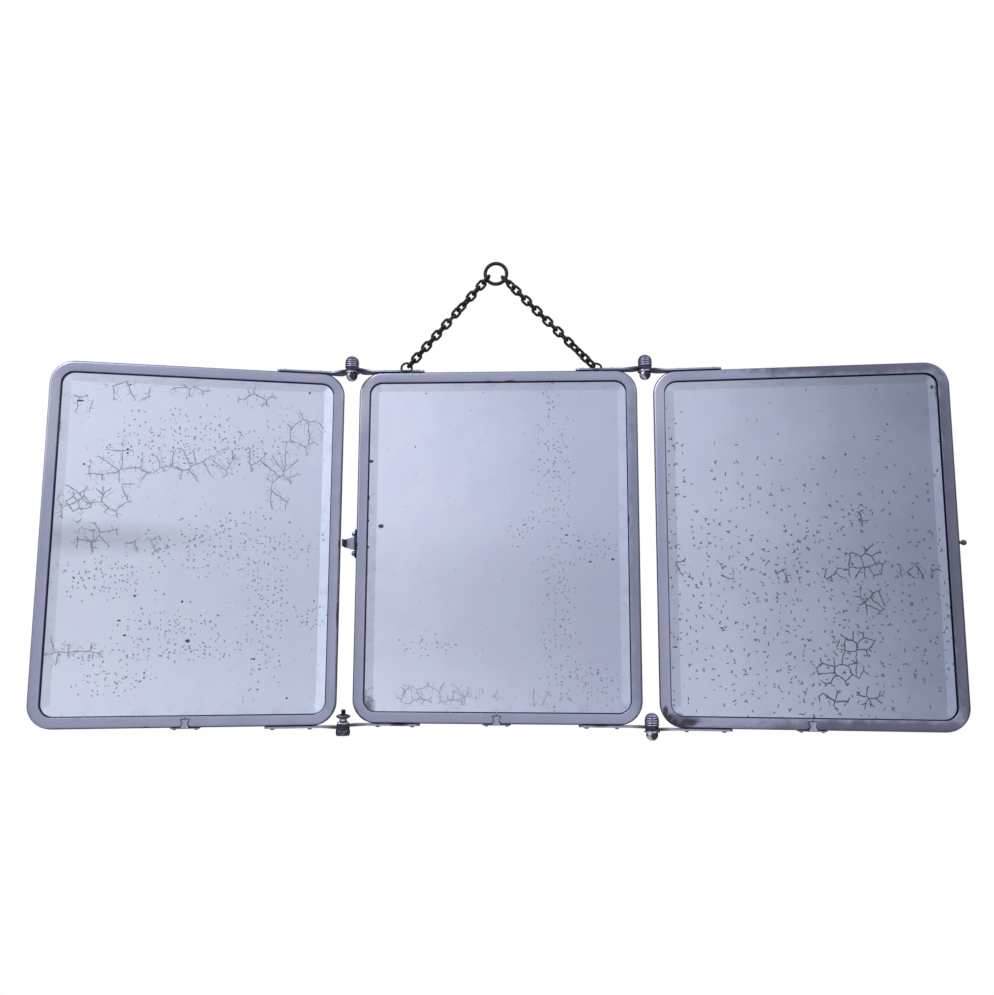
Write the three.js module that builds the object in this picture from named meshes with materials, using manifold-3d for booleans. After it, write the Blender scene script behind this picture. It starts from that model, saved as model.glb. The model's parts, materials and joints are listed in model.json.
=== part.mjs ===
// Hanging three-leaf mirror: a centre leaf hung from a ring and chain, with a leaf hinged on each side.
// Millimetres: +X right, +Y away from the viewer, +Z up. The origin is the top of the hanging ring's eye.

import * as THREE from "three";
import { mergeVertices } from "three/addons/utils/BufferGeometryUtils.js";
import Module from "manifold-3d";

const wasm = await Module();
wasm.setup();

const DEGREE = Math.PI / 180;

// Clearance between pieces that rest on each other.
const FIT = 0.3;

// Leaves: a bevelled glass and a backing board in a rolled metal channel.
const LEAF_WIDTH = 245;
const LEAF_HEIGHT = 305;
const CORNER_RADIUS = 20;
const CHANNEL_DEPTH = 10;
const CHANNEL_WALL = 1.2;
const CHANNEL_ROUNDING = 2.6;
const FRONT_LIP = 9.6;
const BACK_LIP = 7;
const CHANNEL_JOINT = 0.5;
const GLASS_THICKNESS = 4;
const GLASS_COVER = 5; // how far the front lip reaches over the glass
const BEVEL_WIDTH = 13;
const BEVEL_DROP = 1.6;

// Joint clips: a plate under each leaf with a waisted tongue folded up over the channel's joint.
const CLIP_THICKNESS = 0.6;
const CLIP_LENGTH = 24;
const CLIP_WIDTH = 8.5;
const CLIP_RIVET_OFFSET = 8.7;
const TONGUE_WIDTH = 8;
const TONGUE_WAIST = 5.4;
const TONGUE_HEIGHT = 7.6;

// Strap hinges: flat straps riveted on the leaves' top and bottom edges, with eyes on one bolt.
const STRAP_THICKNESS = 1.5;
const STRAP_WIDTH = 10;
const STRAP_END_RADIUS = 4;
const STRAP_ARM = 12; // length of strap that widens into the arm
const EYE_RADIUS = 5.6;
const BOLT_RADIUS = 2;
const LEFT_GAP = 5.6; // leaf edge to hinge axis
const RIGHT_GAP = 6.8;
const LEFT_CENTRE_STRAP = 57.5; // strap lengths, measured from the leaf's edge
const RIGHT_CENTRE_STRAP = 53.5;
const WING_STRAP = 59;
const FIRST_RIVET = 21.7; // from the leaf's edge
const LAST_RIVET = 6.5; // from the strap's free end
const LEFT_ANGLE = 13.5; // how far each wing stands forward
const RIGHT_ANGLE = 5;
const FOLD_GAP = 0.3;

// Rivets with domed heads.
const RIVET_HEAD_RADIUS = 2.3;
const RIVET_HEAD_HEIGHT = 1.3;
const RIVET_SHANK_RADIUS = 1.1;
const CLIP_RIVET_HEAD_RADIUS = 1.9;
const CLIP_RIVET_HEAD_HEIGHT = 1;
const RIVET_TAIL = 0.6; // length past the channel's wall

// Hinge bolts: a ball and collar below the eyes, a ribbed dome nut above them.
const NUT_RADIUS = 6.2;
const NUT_HEIGHT = 10.7;
const NUT_RIBS = 4;
const NUT_RIB_DEPTH = 0.6;
const NUT_BORE_DEPTH = 6;
const NUT_SHOULDER = 15; // degrees up the dome where it leaves the top rib
const COLLAR_RADIUS = 6.5;
const COLLAR_THICKNESS = 1.3;
const BALL_RADIUS = 5;
const BALL_SEAT = 1.8; // how far the ball's centre lies below the collar

// The lower left hinge has a plain replacement bolt with a flanged nut and a thin round nut.
const STUD_HEAD_RADIUS = 6;
const STUD_HEAD_HEIGHT = 5.6;
const STUD_TIP = 3.8; // bare thread past the round nut
const FLANGE_NUT_RADIUS = 5.2;
const FLANGE_NUT_HEIGHT = 2.6;
const FLANGE_NUT_NECK_RADIUS = 3.2;
const FLANGE_NUT_NECK = 1.6;
const ROUND_NUT_RADIUS = 6;
const ROUND_NUT_HEIGHT = 3.8;
const ROUND_NUT_RIM = 1;

// Latch: a flange on the centre leaf's left side with a tongue, and a knob on the right wing's outer edge.
const LATCH_THICKNESS = 0.8;
const LATCH_PLATE_HEIGHT = 25;
const LATCH_PLATE_WIDTH = 7.6;
const LATCH_RIVET_OFFSET = 8.5;
const LATCH_RIVET_RADIUS = 2.6;
const LATCH_REACH = 10.2; // leaf edge to the tongue's outer face
const LATCH_ROOT = 12.2;
const LATCH_TIP = 6.8;
const LATCH_TONGUE_LENGTH = 11;
const KNOB_RADIUS = 2.35;
const KNOB_REACH = 4; // leaf edge to the ball's centre
const KNOB_NECK_RADIUS = 1.2;
const KNOB_FOOT_RADIUS = 2.1;

// Hanging ring, anchor rings and chain.
const RING_RADIUS = 10; // to the middle of the wire
const RING_WIRE = 1.25; // wire radius
const RING_X = -1.7; // from the centre leaf's middle
const RING_RISE = 90.8; // ring centre above the centre leaf's top edge
const HANG_Y = -2; // the rings and the chain lie in this plane
const ANCHOR_RADIUS = 4.8;
const ANCHOR_WIRE = 0.85;
const ANCHOR_SINK = 0.8; // anchor wire's middle below the leaf's top edge
const LEFT_ANCHOR_INSET = 41.4; // from the leaf's side edge
const RIGHT_ANCHOR_INSET = 35.5;
const RIGHT_ANCHOR_LEAN = 28;
const KNUCKLE_LENGTH = 5;
const KNUCKLE_INNER = 1.9;
const KNUCKLE_OUTER = 3;
const KNUCKLE_WINDOW = 5.2; // width of the strap's window around the knuckle
const LINK_WIRE = 0.95;
const LINK_WIDTH = 7.7;
const GRIP_CLEARANCE = 0.5; // between an end link and its ring
const LINK_NIP = 0.35; // how far neighbouring links press into each other
const LEFT_LINKS = 16;
const RIGHT_LINKS = 17;
const LEFT_TWISTS = [[3, 9, 90]]; // twisted between which links, and by how many degrees
const RIGHT_TWISTS = [[-2, 3, 90], [8, 15, 65]];
const LEFT_RING_GRIP = 198; // where each end link bears inside its ring
const RIGHT_RING_GRIP = -27;
const LEFT_ANCHOR_GRIP = 40;
const RIGHT_ANCHOR_GRIP = 150;

// Faces used on round pieces.
const BOLT_SIDES = 12;
const RIVET_SIDES = 8;
const EYE_SIDES = 16;
const RING_SIDES = 8;
const RING_STEPS = 28;
const ANCHOR_SIDES = 6;
const ANCHOR_STEPS = 18;
const LINK_SIDES = 6;
const LINK_STEPS = 10; // not a multiple of four, so that no ring of points lies on the link's middle

// What follows from those sizes.
const HALF_WIDTH = LEAF_WIDTH / 2;
const HALF_HEIGHT = LEAF_HEIGHT / 2;
const HALF_DEPTH = CHANNEL_DEPTH / 2;
const STRAP_RISE = FIT + STRAP_THICKNESS; // leaf edge to a strap's outer face
const WING_DROP = STRAP_THICKNESS + FIT; // so that each wing's eyes lie under the centre's
const CLIP_STAND = FIT + CLIP_THICKNESS;
// The right wing folds first and the left wing over it, so the left axis stands further forward.
const RIGHT_AXIS_FORWARD = HALF_DEPTH + CLIP_STAND + FOLD_GAP / 2;
const LEFT_AXIS_FORWARD = RIGHT_AXIS_FORWARD + (CHANNEL_DEPTH + CLIP_STAND + FOLD_GAP) / 2;
const RING_Z = HALF_HEIGHT + RING_RISE;
const ANCHOR_AXIS_Z = HALF_HEIGHT - ANCHOR_SINK;
const LEFT_ANCHOR_X = LEFT_ANCHOR_INSET - HALF_WIDTH;
const RIGHT_ANCHOR_X = HALF_WIDTH - RIGHT_ANCHOR_INSET;

const NICKEL = { color: 0x9399b6, roughness: 0.36, metalness: 0.85 };
const BRIGHT = { color: 0xb9bccb, roughness: 0.2, metalness: 1 };
const DULL = { color: 0x6f717c, roughness: 0.5, metalness: 0.8 };
const SILVERED = { color: 0xbfc5da, roughness: 0.06, metalness: 1 };
const BOARD = { color: 0x6d5a45, roughness: 0.85, metalness: 0 };
const BLACK = { color: 0x1c1b1f, roughness: 0.45, metalness: 0.6 };

// A closed geometry as a manifold-3d solid, without the faces that close up at a lathe's pole.
function solid(geometry) {
  const loose = geometry.index ? geometry.toNonIndexed() : geometry;
  const bare = new THREE.BufferGeometry().setAttribute("position", loose.getAttribute("position"));
  const merged = mergeVertices(bare, 1e-4);
  const corners = [];
  const index = merged.index.array;
  for (let i = 0; i < index.length; i += 3) {
    const [a, b, c] = index.slice(i, i + 3);
    if (a !== b && b !== c && c !== a) corners.push(a, b, c);
  }
  return new wasm.Manifold(
    new wasm.Mesh({
      numProp: 3,
      vertProperties: new Float32Array(merged.attributes.position.array),
      triVerts: new Uint32Array(corners),
    }),
  );
}

function geometryOf(body) {
  const { vertProperties, triVerts } = body.getMesh();
  return new THREE.BufferGeometry()
    .setAttribute("position", new THREE.BufferAttribute(vertProperties, 3))
    .setIndex(new THREE.BufferAttribute(triVerts, 1));
}

function add(parent, name, body, finish) {
  const mesh = new THREE.Mesh(geometryOf(body), new THREE.MeshStandardMaterial(finish));
  mesh.name = name;
  mesh.geometry.computeVertexNormals();
  parent.add(mesh);
  return mesh;
}

const cutAll = (body, cutters) => cutters.reduce((left, cutter) => left.subtract(cutter), body);
const joinAll = (bodies) => bodies.reduce((sum, body) => sum.add(body));

// A rectangle with round corners, centred on (x, 0).
function roundedRectangle(width, height, radius, x = 0) {
  const shape = new THREE.Shape();
  const right = x + width / 2 - radius;
  const left = x - width / 2 + radius;
  const top = height / 2 - radius;
  shape.absarc(right, -top, radius, -90 * DEGREE, 0);
  shape.absarc(right, top, radius, 0, 90 * DEGREE);
  shape.absarc(left, top, radius, 90 * DEGREE, 180 * DEGREE);
  shape.absarc(left, -top, radius, 180 * DEGREE, 270 * DEGREE);
  shape.closePath();
  return shape;
}

// A leaf's outline, drawn in from its edge.
const leafOutline = (inset) =>
  roundedRectangle(LEAF_WIDTH - 2 * inset, LEAF_HEIGHT - 2 * inset, CORNER_RADIUS - inset);

// A flat shape as a plate that faces the viewer, centred on y = 0, with its edges eased on both faces.
function facing(shape, depth, ease = { width: 0, drop: 0, steps: 1 }) {
  const geometry = new THREE.ExtrudeGeometry(shape, {
    depth: depth - 2 * ease.drop,
    curveSegments: 3,
    bevelEnabled: ease.width > 0,
    bevelThickness: ease.drop,
    bevelSize: ease.width,
    bevelOffset: -ease.width,
    bevelSegments: ease.steps,
  });
  return solid(geometry.translate(0, 0, ease.drop - depth / 2).rotateX(90 * DEGREE));
}

// A flat shape seen from above as a slab that stands on z = 0.
const slab = (shape, thickness, curveSegments = 3) =>
  solid(new THREE.ExtrudeGeometry(shape, { depth: thickness, bevelEnabled: false, curveSegments }));

const box = (width, depth, height) => solid(new THREE.BoxGeometry(width, depth, height));

// A body turned about the z axis. The profile of [radius, z] points runs up the outside.
function turned(profile, sides) {
  const points = profile.map(([radius, z]) => new THREE.Vector2(radius, z));
  return solid(new THREE.LatheGeometry(points, sides).rotateX(90 * DEGREE));
}

const pin = (radius, bottom, top, sides) =>
  turned([[0, bottom], [radius, bottom], [radius, top], [0, top]], sides);

// Points of an arc about (0, z), as [radius, z], from one elevation to another.
function arc(radius, z, from, to, steps) {
  return Array.from({ length: steps + 1 }, (_, step) => {
    const angle = (from + ((to - from) * step) / steps) * DEGREE;
    return [radius * Math.cos(angle), z + radius * Math.sin(angle)];
  });
}

// The convex outline round a set of [x, y] points.
function wrapOutline(points) {
  const sorted = [...points].sort((a, b) => a[0] - b[0] || a[1] - b[1]);
  const turn = (o, a, b) => (a[0] - o[0]) * (b[1] - o[1]) - (a[1] - o[1]) * (b[0] - o[0]);
  const chainOf = (list) => {
    const chain = [];
    for (const point of list) {
      while (chain.length > 1 && turn(chain.at(-2), chain.at(-1), point) <= 0) chain.pop();
      chain.push(point);
    }
    return chain.slice(0, -1);
  };
  const outline = [...chainOf(sorted), ...chainOf(sorted.reverse())];
  return new THREE.Shape(outline.map(([x, y]) => new THREE.Vector2(x, y)));
}

// Channel with its glass pocket, front window and back opening, sawn through at the bottom.
function channel(holes) {
  const ease = { width: CHANNEL_ROUNDING, drop: CHANNEL_ROUNDING, steps: 2 };
  const rim = facing(leafOutline(0), CHANNEL_DEPTH, ease);
  const pocket = facing(leafOutline(CHANNEL_WALL), CHANNEL_DEPTH - 2 * CHANNEL_WALL);
  const window = facing(leafOutline(FRONT_LIP), CHANNEL_DEPTH).translate([0, -HALF_DEPTH, 0]);
  const opening = facing(leafOutline(BACK_LIP), CHANNEL_DEPTH).translate([0, HALF_DEPTH, 0]);
  const sawCut = box(CHANNEL_JOINT, 2 * CHANNEL_DEPTH, 2 * FRONT_LIP).translate([0, 0, -HALF_HEIGHT]);
  return cutAll(rim, [pocket, window, opening, sawCut, ...holes]);
}

// Plate glass, bevelled all round its front.
function glass() {
  const outline = leafOutline(FRONT_LIP - GLASS_COVER);
  const ease = { width: BEVEL_WIDTH, drop: BEVEL_DROP, steps: 1 };
  const lens = facing(outline, GLASS_THICKNESS + BEVEL_DROP, ease);
  const spare = box(2 * LEAF_WIDTH, GLASS_THICKNESS, 2 * LEAF_HEIGHT);
  const back = (GLASS_THICKNESS + BEVEL_DROP) / 2 - BEVEL_DROP;
  const front = -HALF_DEPTH + CHANNEL_WALL + FIT;
  const middle = front + (GLASS_THICKNESS + BEVEL_DROP) / 2;
  return lens.subtract(spare.translate([0, back + GLASS_THICKNESS / 2, 0])).translate([0, middle, 0]);
}

// Backing board, held between the glass and the channel's back lip.
function board() {
  const front = -HALF_DEPTH + CHANNEL_WALL + 2 * FIT + GLASS_THICKNESS;
  const back = HALF_DEPTH - CHANNEL_WALL - FIT;
  const plate = facing(leafOutline(FRONT_LIP - GLASS_COVER), back - front);
  return plate.translate([0, (front + back) / 2, 0]);
}

// Rivet whose head stands up from z = 0 and whose shank runs down through what it holds.
function rivet(headRadius, headHeight, grip) {
  const cap = (headRadius ** 2 + headHeight ** 2) / (2 * headHeight);
  const rim = Math.asin((cap - headHeight) / cap) / DEGREE;
  const dome = arc(cap, headHeight - cap, rim, 90, 3).slice(0, -1);
  return turned(
    [[0, -grip], [RIVET_SHANK_RADIUS, -grip], [RIVET_SHANK_RADIUS, 0], ...dome, [0, headHeight]],
    RIVET_SIDES,
  );
}

const STRAP_GRIP = FIT + STRAP_THICKNESS + FIT + CHANNEL_WALL + RIVET_TAIL;
const CLIP_GRIP = FIT + CLIP_THICKNESS + FIT + CHANNEL_WALL + RIVET_TAIL;
const LATCH_GRIP = FIT + LATCH_THICKNESS + FIT + CHANNEL_WALL + RIVET_TAIL;
const RIVET_HOLE = RIVET_SHANK_RADIUS + FIT;

// A round hole through the channel's top or bottom wall, or through its side wall.
const edgeHole = (x, end) =>
  pin(RIVET_HOLE, -2 * CHANNEL_WALL, 2 * CHANNEL_WALL, RIVET_SIDES).translate([x, 0, end * HALF_HEIGHT]);
const sideHole = (side, z) =>
  pin(RIVET_HOLE, -2 * CHANNEL_WALL, 2 * CHANNEL_WALL, RIVET_SIDES)
    .rotate([0, 90, 0])
    .translate([side * HALF_WIDTH, 0, z]);

// Where a strap's two rivets stand, from the leaf's middle.
const strapRivets = (side, length) =>
  [HALF_WIDTH - FIRST_RIVET, HALF_WIDTH - length + LAST_RIVET].map((x) => side * x);

// Strap from its free end on the leaf to its eye, standing on z = 0. A strap with an anchor has a knuckle over
// the anchor ring's wire, in a window that lets the ring lean.
function strap({ side, length, gap, forward, anchorX }) {
  const eye = Array.from({ length: EYE_SIDES }, (_, step) => {
    const angle = (step * 2 * Math.PI) / EYE_SIDES;
    return [
      side * (HALF_WIDTH + gap) + EYE_RADIUS * Math.cos(angle),
      -forward + EYE_RADIUS * Math.sin(angle),
    ];
  });
  const root = [
    [side * (HALF_WIDTH - STRAP_ARM), -STRAP_WIDTH / 2],
    [side * (HALF_WIDTH - STRAP_ARM), STRAP_WIDTH / 2],
    [side * (HALF_WIDTH - STRAP_END_RADIUS), STRAP_WIDTH / 2],
  ];
  const bar = roundedRectangle(length, STRAP_WIDTH, STRAP_END_RADIUS, side * (HALF_WIDTH - length / 2));
  const arm = slab(wrapOutline([...eye, ...root]), STRAP_THICKNESS);
  const holes = strapRivets(side, length).map((x) =>
    pin(RIVET_HOLE, -STRAP_THICKNESS, 2 * STRAP_THICKNESS, RIVET_SIDES).translate([x, 0, 0]),
  );
  const bolt = pin(BOLT_RADIUS + FIT, -STRAP_THICKNESS, 2 * STRAP_THICKNESS, BOLT_SIDES);
  const eyeHole = bolt.translate([side * (HALF_WIDTH + gap), -forward, 0]);
  const body = cutAll(slab(bar, STRAP_THICKNESS).add(arm), [...holes, eyeHole]);
  return anchorX === undefined ? body : withKnuckle(body, anchorX);
}

function withKnuckle(body, x) {
  const windowLength = 2 * (ANCHOR_RADIUS + ANCHOR_WIRE + FIT);
  const window = box(windowLength, KNUCKLE_WINDOW, 4 * STRAP_THICKNESS).translate([x, HANG_Y, 0]);
  const axis = -FIT - ANCHOR_SINK; // anchor wire's middle, from the strap's lower face
  const arch = new THREE.Shape();
  arch.absarc(0, 0, KNUCKLE_OUTER, 0, 180 * DEGREE);
  arch.absarc(0, 0, KNUCKLE_INNER, 180 * DEGREE, 0, true);
  arch.closePath();
  const knuckle = slab(arch, KNUCKLE_LENGTH, 4)
    .translate([0, 0, -KNUCKLE_LENGTH / 2])
    .rotate([90, 0, 90])
    .translate([x, HANG_Y, axis]);
  const below = box(windowLength, 2 * STRAP_WIDTH, 2 * STRAP_WIDTH).translate([x, 0, -STRAP_WIDTH]);
  return body.subtract(window).add(knuckle.subtract(below));
}

// Notch in the channel's top that the anchor ring's wire drops into.
function anchorNotch(x) {
  const length = 2 * (ANCHOR_RADIUS - FIT);
  const width = 2 * (2 * ANCHOR_WIRE + FIT / 3);
  const depth = ANCHOR_SINK + ANCHOR_WIRE + FIT;
  return box(length, width, 2 * depth).translate([x, HANG_Y, HALF_HEIGHT]);
}

// Plate under the leaf's bottom edge, with the tongue that folds up over the channel's joint.
function jointClip() {
  const plate = slab(roundedRectangle(CLIP_LENGTH, CLIP_WIDTH, CLIP_WIDTH / 3), CLIP_THICKNESS);
  const strip = box(TONGUE_WIDTH, HALF_DEPTH + CLIP_STAND, CLIP_THICKNESS).translate([
    0,
    -(HALF_DEPTH + CLIP_STAND) / 2,
    CLIP_THICKNESS / 2,
  ]);
  const tongue = new THREE.Shape();
  tongue.moveTo(-TONGUE_WIDTH / 2, 0);
  tongue.lineTo(TONGUE_WIDTH / 2, 0);
  tongue.quadraticCurveTo(TONGUE_WAIST - TONGUE_WIDTH / 2, TONGUE_HEIGHT / 2, TONGUE_WIDTH / 2, TONGUE_HEIGHT);
  tongue.lineTo(-TONGUE_WIDTH / 2, TONGUE_HEIGHT);
  tongue.quadraticCurveTo(TONGUE_WIDTH / 2 - TONGUE_WAIST, TONGUE_HEIGHT / 2, -TONGUE_WIDTH / 2, 0);
  const folded = facing(tongue, CLIP_THICKNESS).translate([0, -HALF_DEPTH - FIT - CLIP_THICKNESS / 2, 0]);
  const holes = [-1, 1].map((side) =>
    pin(RIVET_HOLE, -1, 1 + CLIP_THICKNESS, RIVET_SIDES).translate([side * CLIP_RIVET_OFFSET, 0, 0]),
  );
  return cutAll(joinAll([plate, strip, folded]), holes).translate([0, 0, -HALF_HEIGHT - CLIP_STAND]);
}

// Channel, glass, board, joint clip and clip rivets of one leaf.
function addLeaf(parent, name, holes) {
  const clipHoles = [-1, 1].map((side) => edgeHole(side * CLIP_RIVET_OFFSET, -1));
  add(parent, `${name}_frame`, channel([...holes, ...clipHoles]), NICKEL);
  add(parent, `${name}_glass`, glass(), SILVERED);
  add(parent, `${name}_back_board`, board(), BOARD);
  add(parent, `${name}_joint_clip`, jointClip(), NICKEL);
  for (const side of [-1, 1]) {
    const body = rivet(CLIP_RIVET_HEAD_RADIUS, CLIP_RIVET_HEAD_HEIGHT, CLIP_GRIP).rotate([180, 0, 0]);
    const place = [side * CLIP_RIVET_OFFSET, 0, -HALF_HEIGHT - CLIP_STAND - FIT];
    add(parent, `${name}_clip_rivet_${side < 0 ? "left" : "right"}`, body.translate(place), DULL);
  }
}

// One hinge side of a leaf: a strap with two rivets at the top, and another at the bottom.
function addStraps(parent, name, options) {
  const { side, length } = options;
  for (const [end, level] of [["top", 1], ["bottom", -1]]) {
    const anchorX = level > 0 ? options.anchorX : undefined;
    const body = strap({ ...options, anchorX });
    const lowerFace = level > 0 ? HALF_HEIGHT + FIT : -HALF_HEIGHT - STRAP_RISE;
    add(parent, `${name}_strap_${end}`, body.translate([0, 0, lowerFace]), NICKEL);
    strapRivets(side, length).forEach((x, order) => {
      const stud = rivet(RIVET_HEAD_RADIUS, RIVET_HEAD_HEIGHT, STRAP_GRIP);
      const upright = level > 0 ? stud : stud.rotate([180, 0, 0]);
      const seat = level * (HALF_HEIGHT + STRAP_RISE + FIT);
      const role = order === 0 ? "hinge" : "inner";
      add(parent, `${name}_${end}_rivet_${role}`, upright.translate([x, 0, seat]), DULL);
    });
  }
}

const strapHoles = (side, length) =>
  [1, -1].flatMap((end) => strapRivets(side, length).map((x) => edgeHole(x, end)));

// Heights in a hinge, from the lower face of the centre strap's eye.
const EYES_TOP = STRAP_THICKNESS;
const EYES_BOTTOM = -FIT - STRAP_THICKNESS;

// Ribbed dome nut over the centre strap's eye.
function domeNut() {
  const seat = EYES_TOP + FIT;
  const crown = seat + NUT_HEIGHT - NUT_RADIUS;
  const pitch = (crown - seat) / NUT_RIBS;
  const ribs = Array.from({ length: NUT_RIBS }, (_, rib) => [
    [NUT_RADIUS, seat + (rib + 0.15) * pitch],
    [NUT_RADIUS, seat + (rib + 0.65) * pitch],
    [NUT_RADIUS - NUT_RIB_DEPTH, seat + (rib + 0.9) * pitch],
  ]).flat();
  const dome = arc(NUT_RADIUS, crown, NUT_SHOULDER, 90, 5).slice(0, -1);
  const bore = BOLT_RADIUS + FIT;
  return turned(
    [
      [0, seat + NUT_BORE_DEPTH],
      [bore, seat + NUT_BORE_DEPTH],
      [bore, seat],
      [NUT_RADIUS - NUT_RIB_DEPTH, seat],
      ...ribs,
      ...dome,
      [0, seat + NUT_HEIGHT],
    ],
    BOLT_SIDES,
  );
}

// Bolt with a ball and collar below the wing strap's eye, and a shank up into the dome nut.
function ballBolt() {
  const seat = EYES_BOTTOM - FIT;
  const ballCentre = seat - COLLAR_THICKNESS - BALL_SEAT;
  const shoulder = Math.asin(BALL_SEAT / BALL_RADIUS) / DEGREE;
  return turned(
    [
      [0, ballCentre - BALL_RADIUS],
      ...arc(BALL_RADIUS, ballCentre, -90, shoulder, 7).slice(1),
      [COLLAR_RADIUS - COLLAR_THICKNESS / 3, seat - COLLAR_THICKNESS],
      [COLLAR_RADIUS, seat - COLLAR_THICKNESS / 2],
      [COLLAR_RADIUS - COLLAR_THICKNESS / 3, seat],
      [BOLT_RADIUS, seat],
      [BOLT_RADIUS, EYES_TOP + NUT_BORE_DEPTH],
      [0, EYES_TOP + NUT_BORE_DEPTH],
    ],
    BOLT_SIDES,
  );
}

// Replacement hardware of the lower left hinge.
const FLANGE_NUT_SEAT = EYES_TOP + FIT;
const ROUND_NUT_SEAT = FLANGE_NUT_SEAT + FLANGE_NUT_HEIGHT + FLANGE_NUT_NECK + FIT;

function studBolt() {
  const seat = EYES_BOTTOM - FIT;
  const edge = STUD_HEAD_HEIGHT / 8;
  const tip = ROUND_NUT_SEAT + ROUND_NUT_HEIGHT + STUD_TIP;
  return turned(
    [
      [0, seat - STUD_HEAD_HEIGHT],
      [STUD_HEAD_RADIUS - edge, seat - STUD_HEAD_HEIGHT],
      [STUD_HEAD_RADIUS, seat - STUD_HEAD_HEIGHT + edge],
      [STUD_HEAD_RADIUS, seat - edge],
      [STUD_HEAD_RADIUS - edge, seat],
      [BOLT_RADIUS, seat],
      [BOLT_RADIUS, tip - BOLT_RADIUS / 3],
      [BOLT_RADIUS * (2 / 3), tip],
      [0, tip],
    ],
    BOLT_SIDES,
  );
}

// A nut on the bolt, from an outside profile of [radius, z] points.
function nut(outside) {
  const bore = BOLT_RADIUS + FIT;
  return turned([[bore, outside[0][1]], ...outside, [bore, outside.at(-1)[1]], [bore, outside[0][1]]], BOLT_SIDES);
}

function flangeNut() {
  const top = FLANGE_NUT_SEAT + FLANGE_NUT_HEIGHT;
  return nut([
    [FLANGE_NUT_RADIUS, FLANGE_NUT_SEAT],
    [FLANGE_NUT_RADIUS, top - FLANGE_NUT_HEIGHT / 4],
    [FLANGE_NUT_NECK_RADIUS, top],
    [FLANGE_NUT_NECK_RADIUS, top + FLANGE_NUT_NECK],
  ]);
}

function roundNut() {
  const middle = ROUND_NUT_SEAT + ROUND_NUT_HEIGHT / 2;
  return nut([
    [ROUND_NUT_RADIUS * 0.6, ROUND_NUT_SEAT],
    [ROUND_NUT_RADIUS, middle - ROUND_NUT_RIM / 2],
    [ROUND_NUT_RADIUS, middle + ROUND_NUT_RIM / 2],
    [ROUND_NUT_RADIUS * 0.6, ROUND_NUT_SEAT + ROUND_NUT_HEIGHT],
  ]);
}

// Bolts and nuts of the two hinges on one side.
function addHinges(parent, name, side, gap, forward) {
  for (const [end, level] of [["top", 1], ["bottom", -1]]) {
    const eyes = level > 0 ? HALF_HEIGHT + FIT : -HALF_HEIGHT - STRAP_RISE;
    const place = [side * (HALF_WIDTH + gap), -forward, eyes];
    if (name === "left" && end === "bottom") {
      add(parent, "left_bottom_hinge_stud", studBolt().translate(place), DULL);
      add(parent, "left_bottom_flange_nut", flangeNut().translate(place), BRIGHT);
      add(parent, "left_bottom_round_nut", roundNut().translate(place), DULL);
    } else {
      add(parent, `${name}_${end}_hinge_bolt`, ballBolt().translate(place), BRIGHT);
      add(parent, `${name}_${end}_dome_nut`, domeNut().translate(place), NICKEL);
    }
  }
}

// Latch on the centre leaf's left side: a riveted plate, a flange that stands out, and a tongue bent forward.
function latch() {
  const plateX = -HALF_WIDTH - FIT - LATCH_THICKNESS / 2;
  const plate = box(LATCH_THICKNESS, LATCH_PLATE_WIDTH, LATCH_PLATE_HEIGHT).translate([plateX, 0, 0]);
  const near = -HALF_WIDTH - FIT;
  const far = -HALF_WIDTH - LATCH_REACH;
  const wing = new THREE.Shape([
    new THREE.Vector2(near, -LATCH_ROOT / 2),
    new THREE.Vector2(near, LATCH_ROOT / 2),
    new THREE.Vector2(far, LATCH_TIP / 2),
    new THREE.Vector2(far, -LATCH_TIP / 2),
  ]);
  const front = -LATCH_PLATE_WIDTH / 2;
  const flange = facing(wing, LATCH_THICKNESS).translate([0, front + LATCH_THICKNESS / 2, 0]);
  const tongue = box(LATCH_THICKNESS, LATCH_TONGUE_LENGTH, LATCH_TIP).translate([
    far + LATCH_THICKNESS / 2,
    front + LATCH_THICKNESS - LATCH_TONGUE_LENGTH / 2,
    0,
  ]);
  const holes = [-1, 1].map((end) => sideHole(-1, end * LATCH_RIVET_OFFSET));
  return cutAll(joinAll([plate, flange, tongue]), holes);
}

// Rivet with a ball head, pointing out along -x from its seat at x = 0.
function latchRivet() {
  const lift = LATCH_RIVET_RADIUS / 5;
  const seat = Math.asin(-lift / LATCH_RIVET_RADIUS) / DEGREE;
  const ball = arc(LATCH_RIVET_RADIUS, lift, seat, 90, 5).slice(0, -1);
  return turned(
    [
      [0, -LATCH_GRIP],
      [RIVET_SHANK_RADIUS, -LATCH_GRIP],
      [RIVET_SHANK_RADIUS, 0],
      ...ball,
      [0, lift + LATCH_RIVET_RADIUS],
    ],
    RIVET_SIDES,
  ).rotate([0, -90, 0]);
}

// Knob on the right wing's outer edge, pointing out along +x from the leaf's edge.
function knob() {
  const neckTop = KNOB_REACH - KNOB_RADIUS * 0.8;
  const neck = Math.asin((neckTop - KNOB_REACH) / KNOB_RADIUS) / DEGREE;
  const ball = arc(KNOB_RADIUS, KNOB_REACH, neck, 90, 6).slice(0, -1);
  const tail = -CHANNEL_WALL - RIVET_TAIL;
  return turned(
    [
      [0, tail],
      [RIVET_SHANK_RADIUS, tail],
      [RIVET_SHANK_RADIUS, FIT],
      [KNOB_FOOT_RADIUS, FIT],
      [KNOB_FOOT_RADIUS, 2 * FIT],
      [KNOB_NECK_RADIUS, neckTop],
      ...ball,
      [0, KNOB_REACH + KNOB_RADIUS],
    ],
    RIVET_SIDES,
  ).rotate([0, 90, 0]);
}

// Wire ring of this radius to the middle of its wire, upright and facing the viewer about its centre.
const ring = (radius, wire, sides, steps) =>
  solid(new THREE.TorusGeometry(radius, wire, sides, steps).rotateX(90 * DEGREE));

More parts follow.
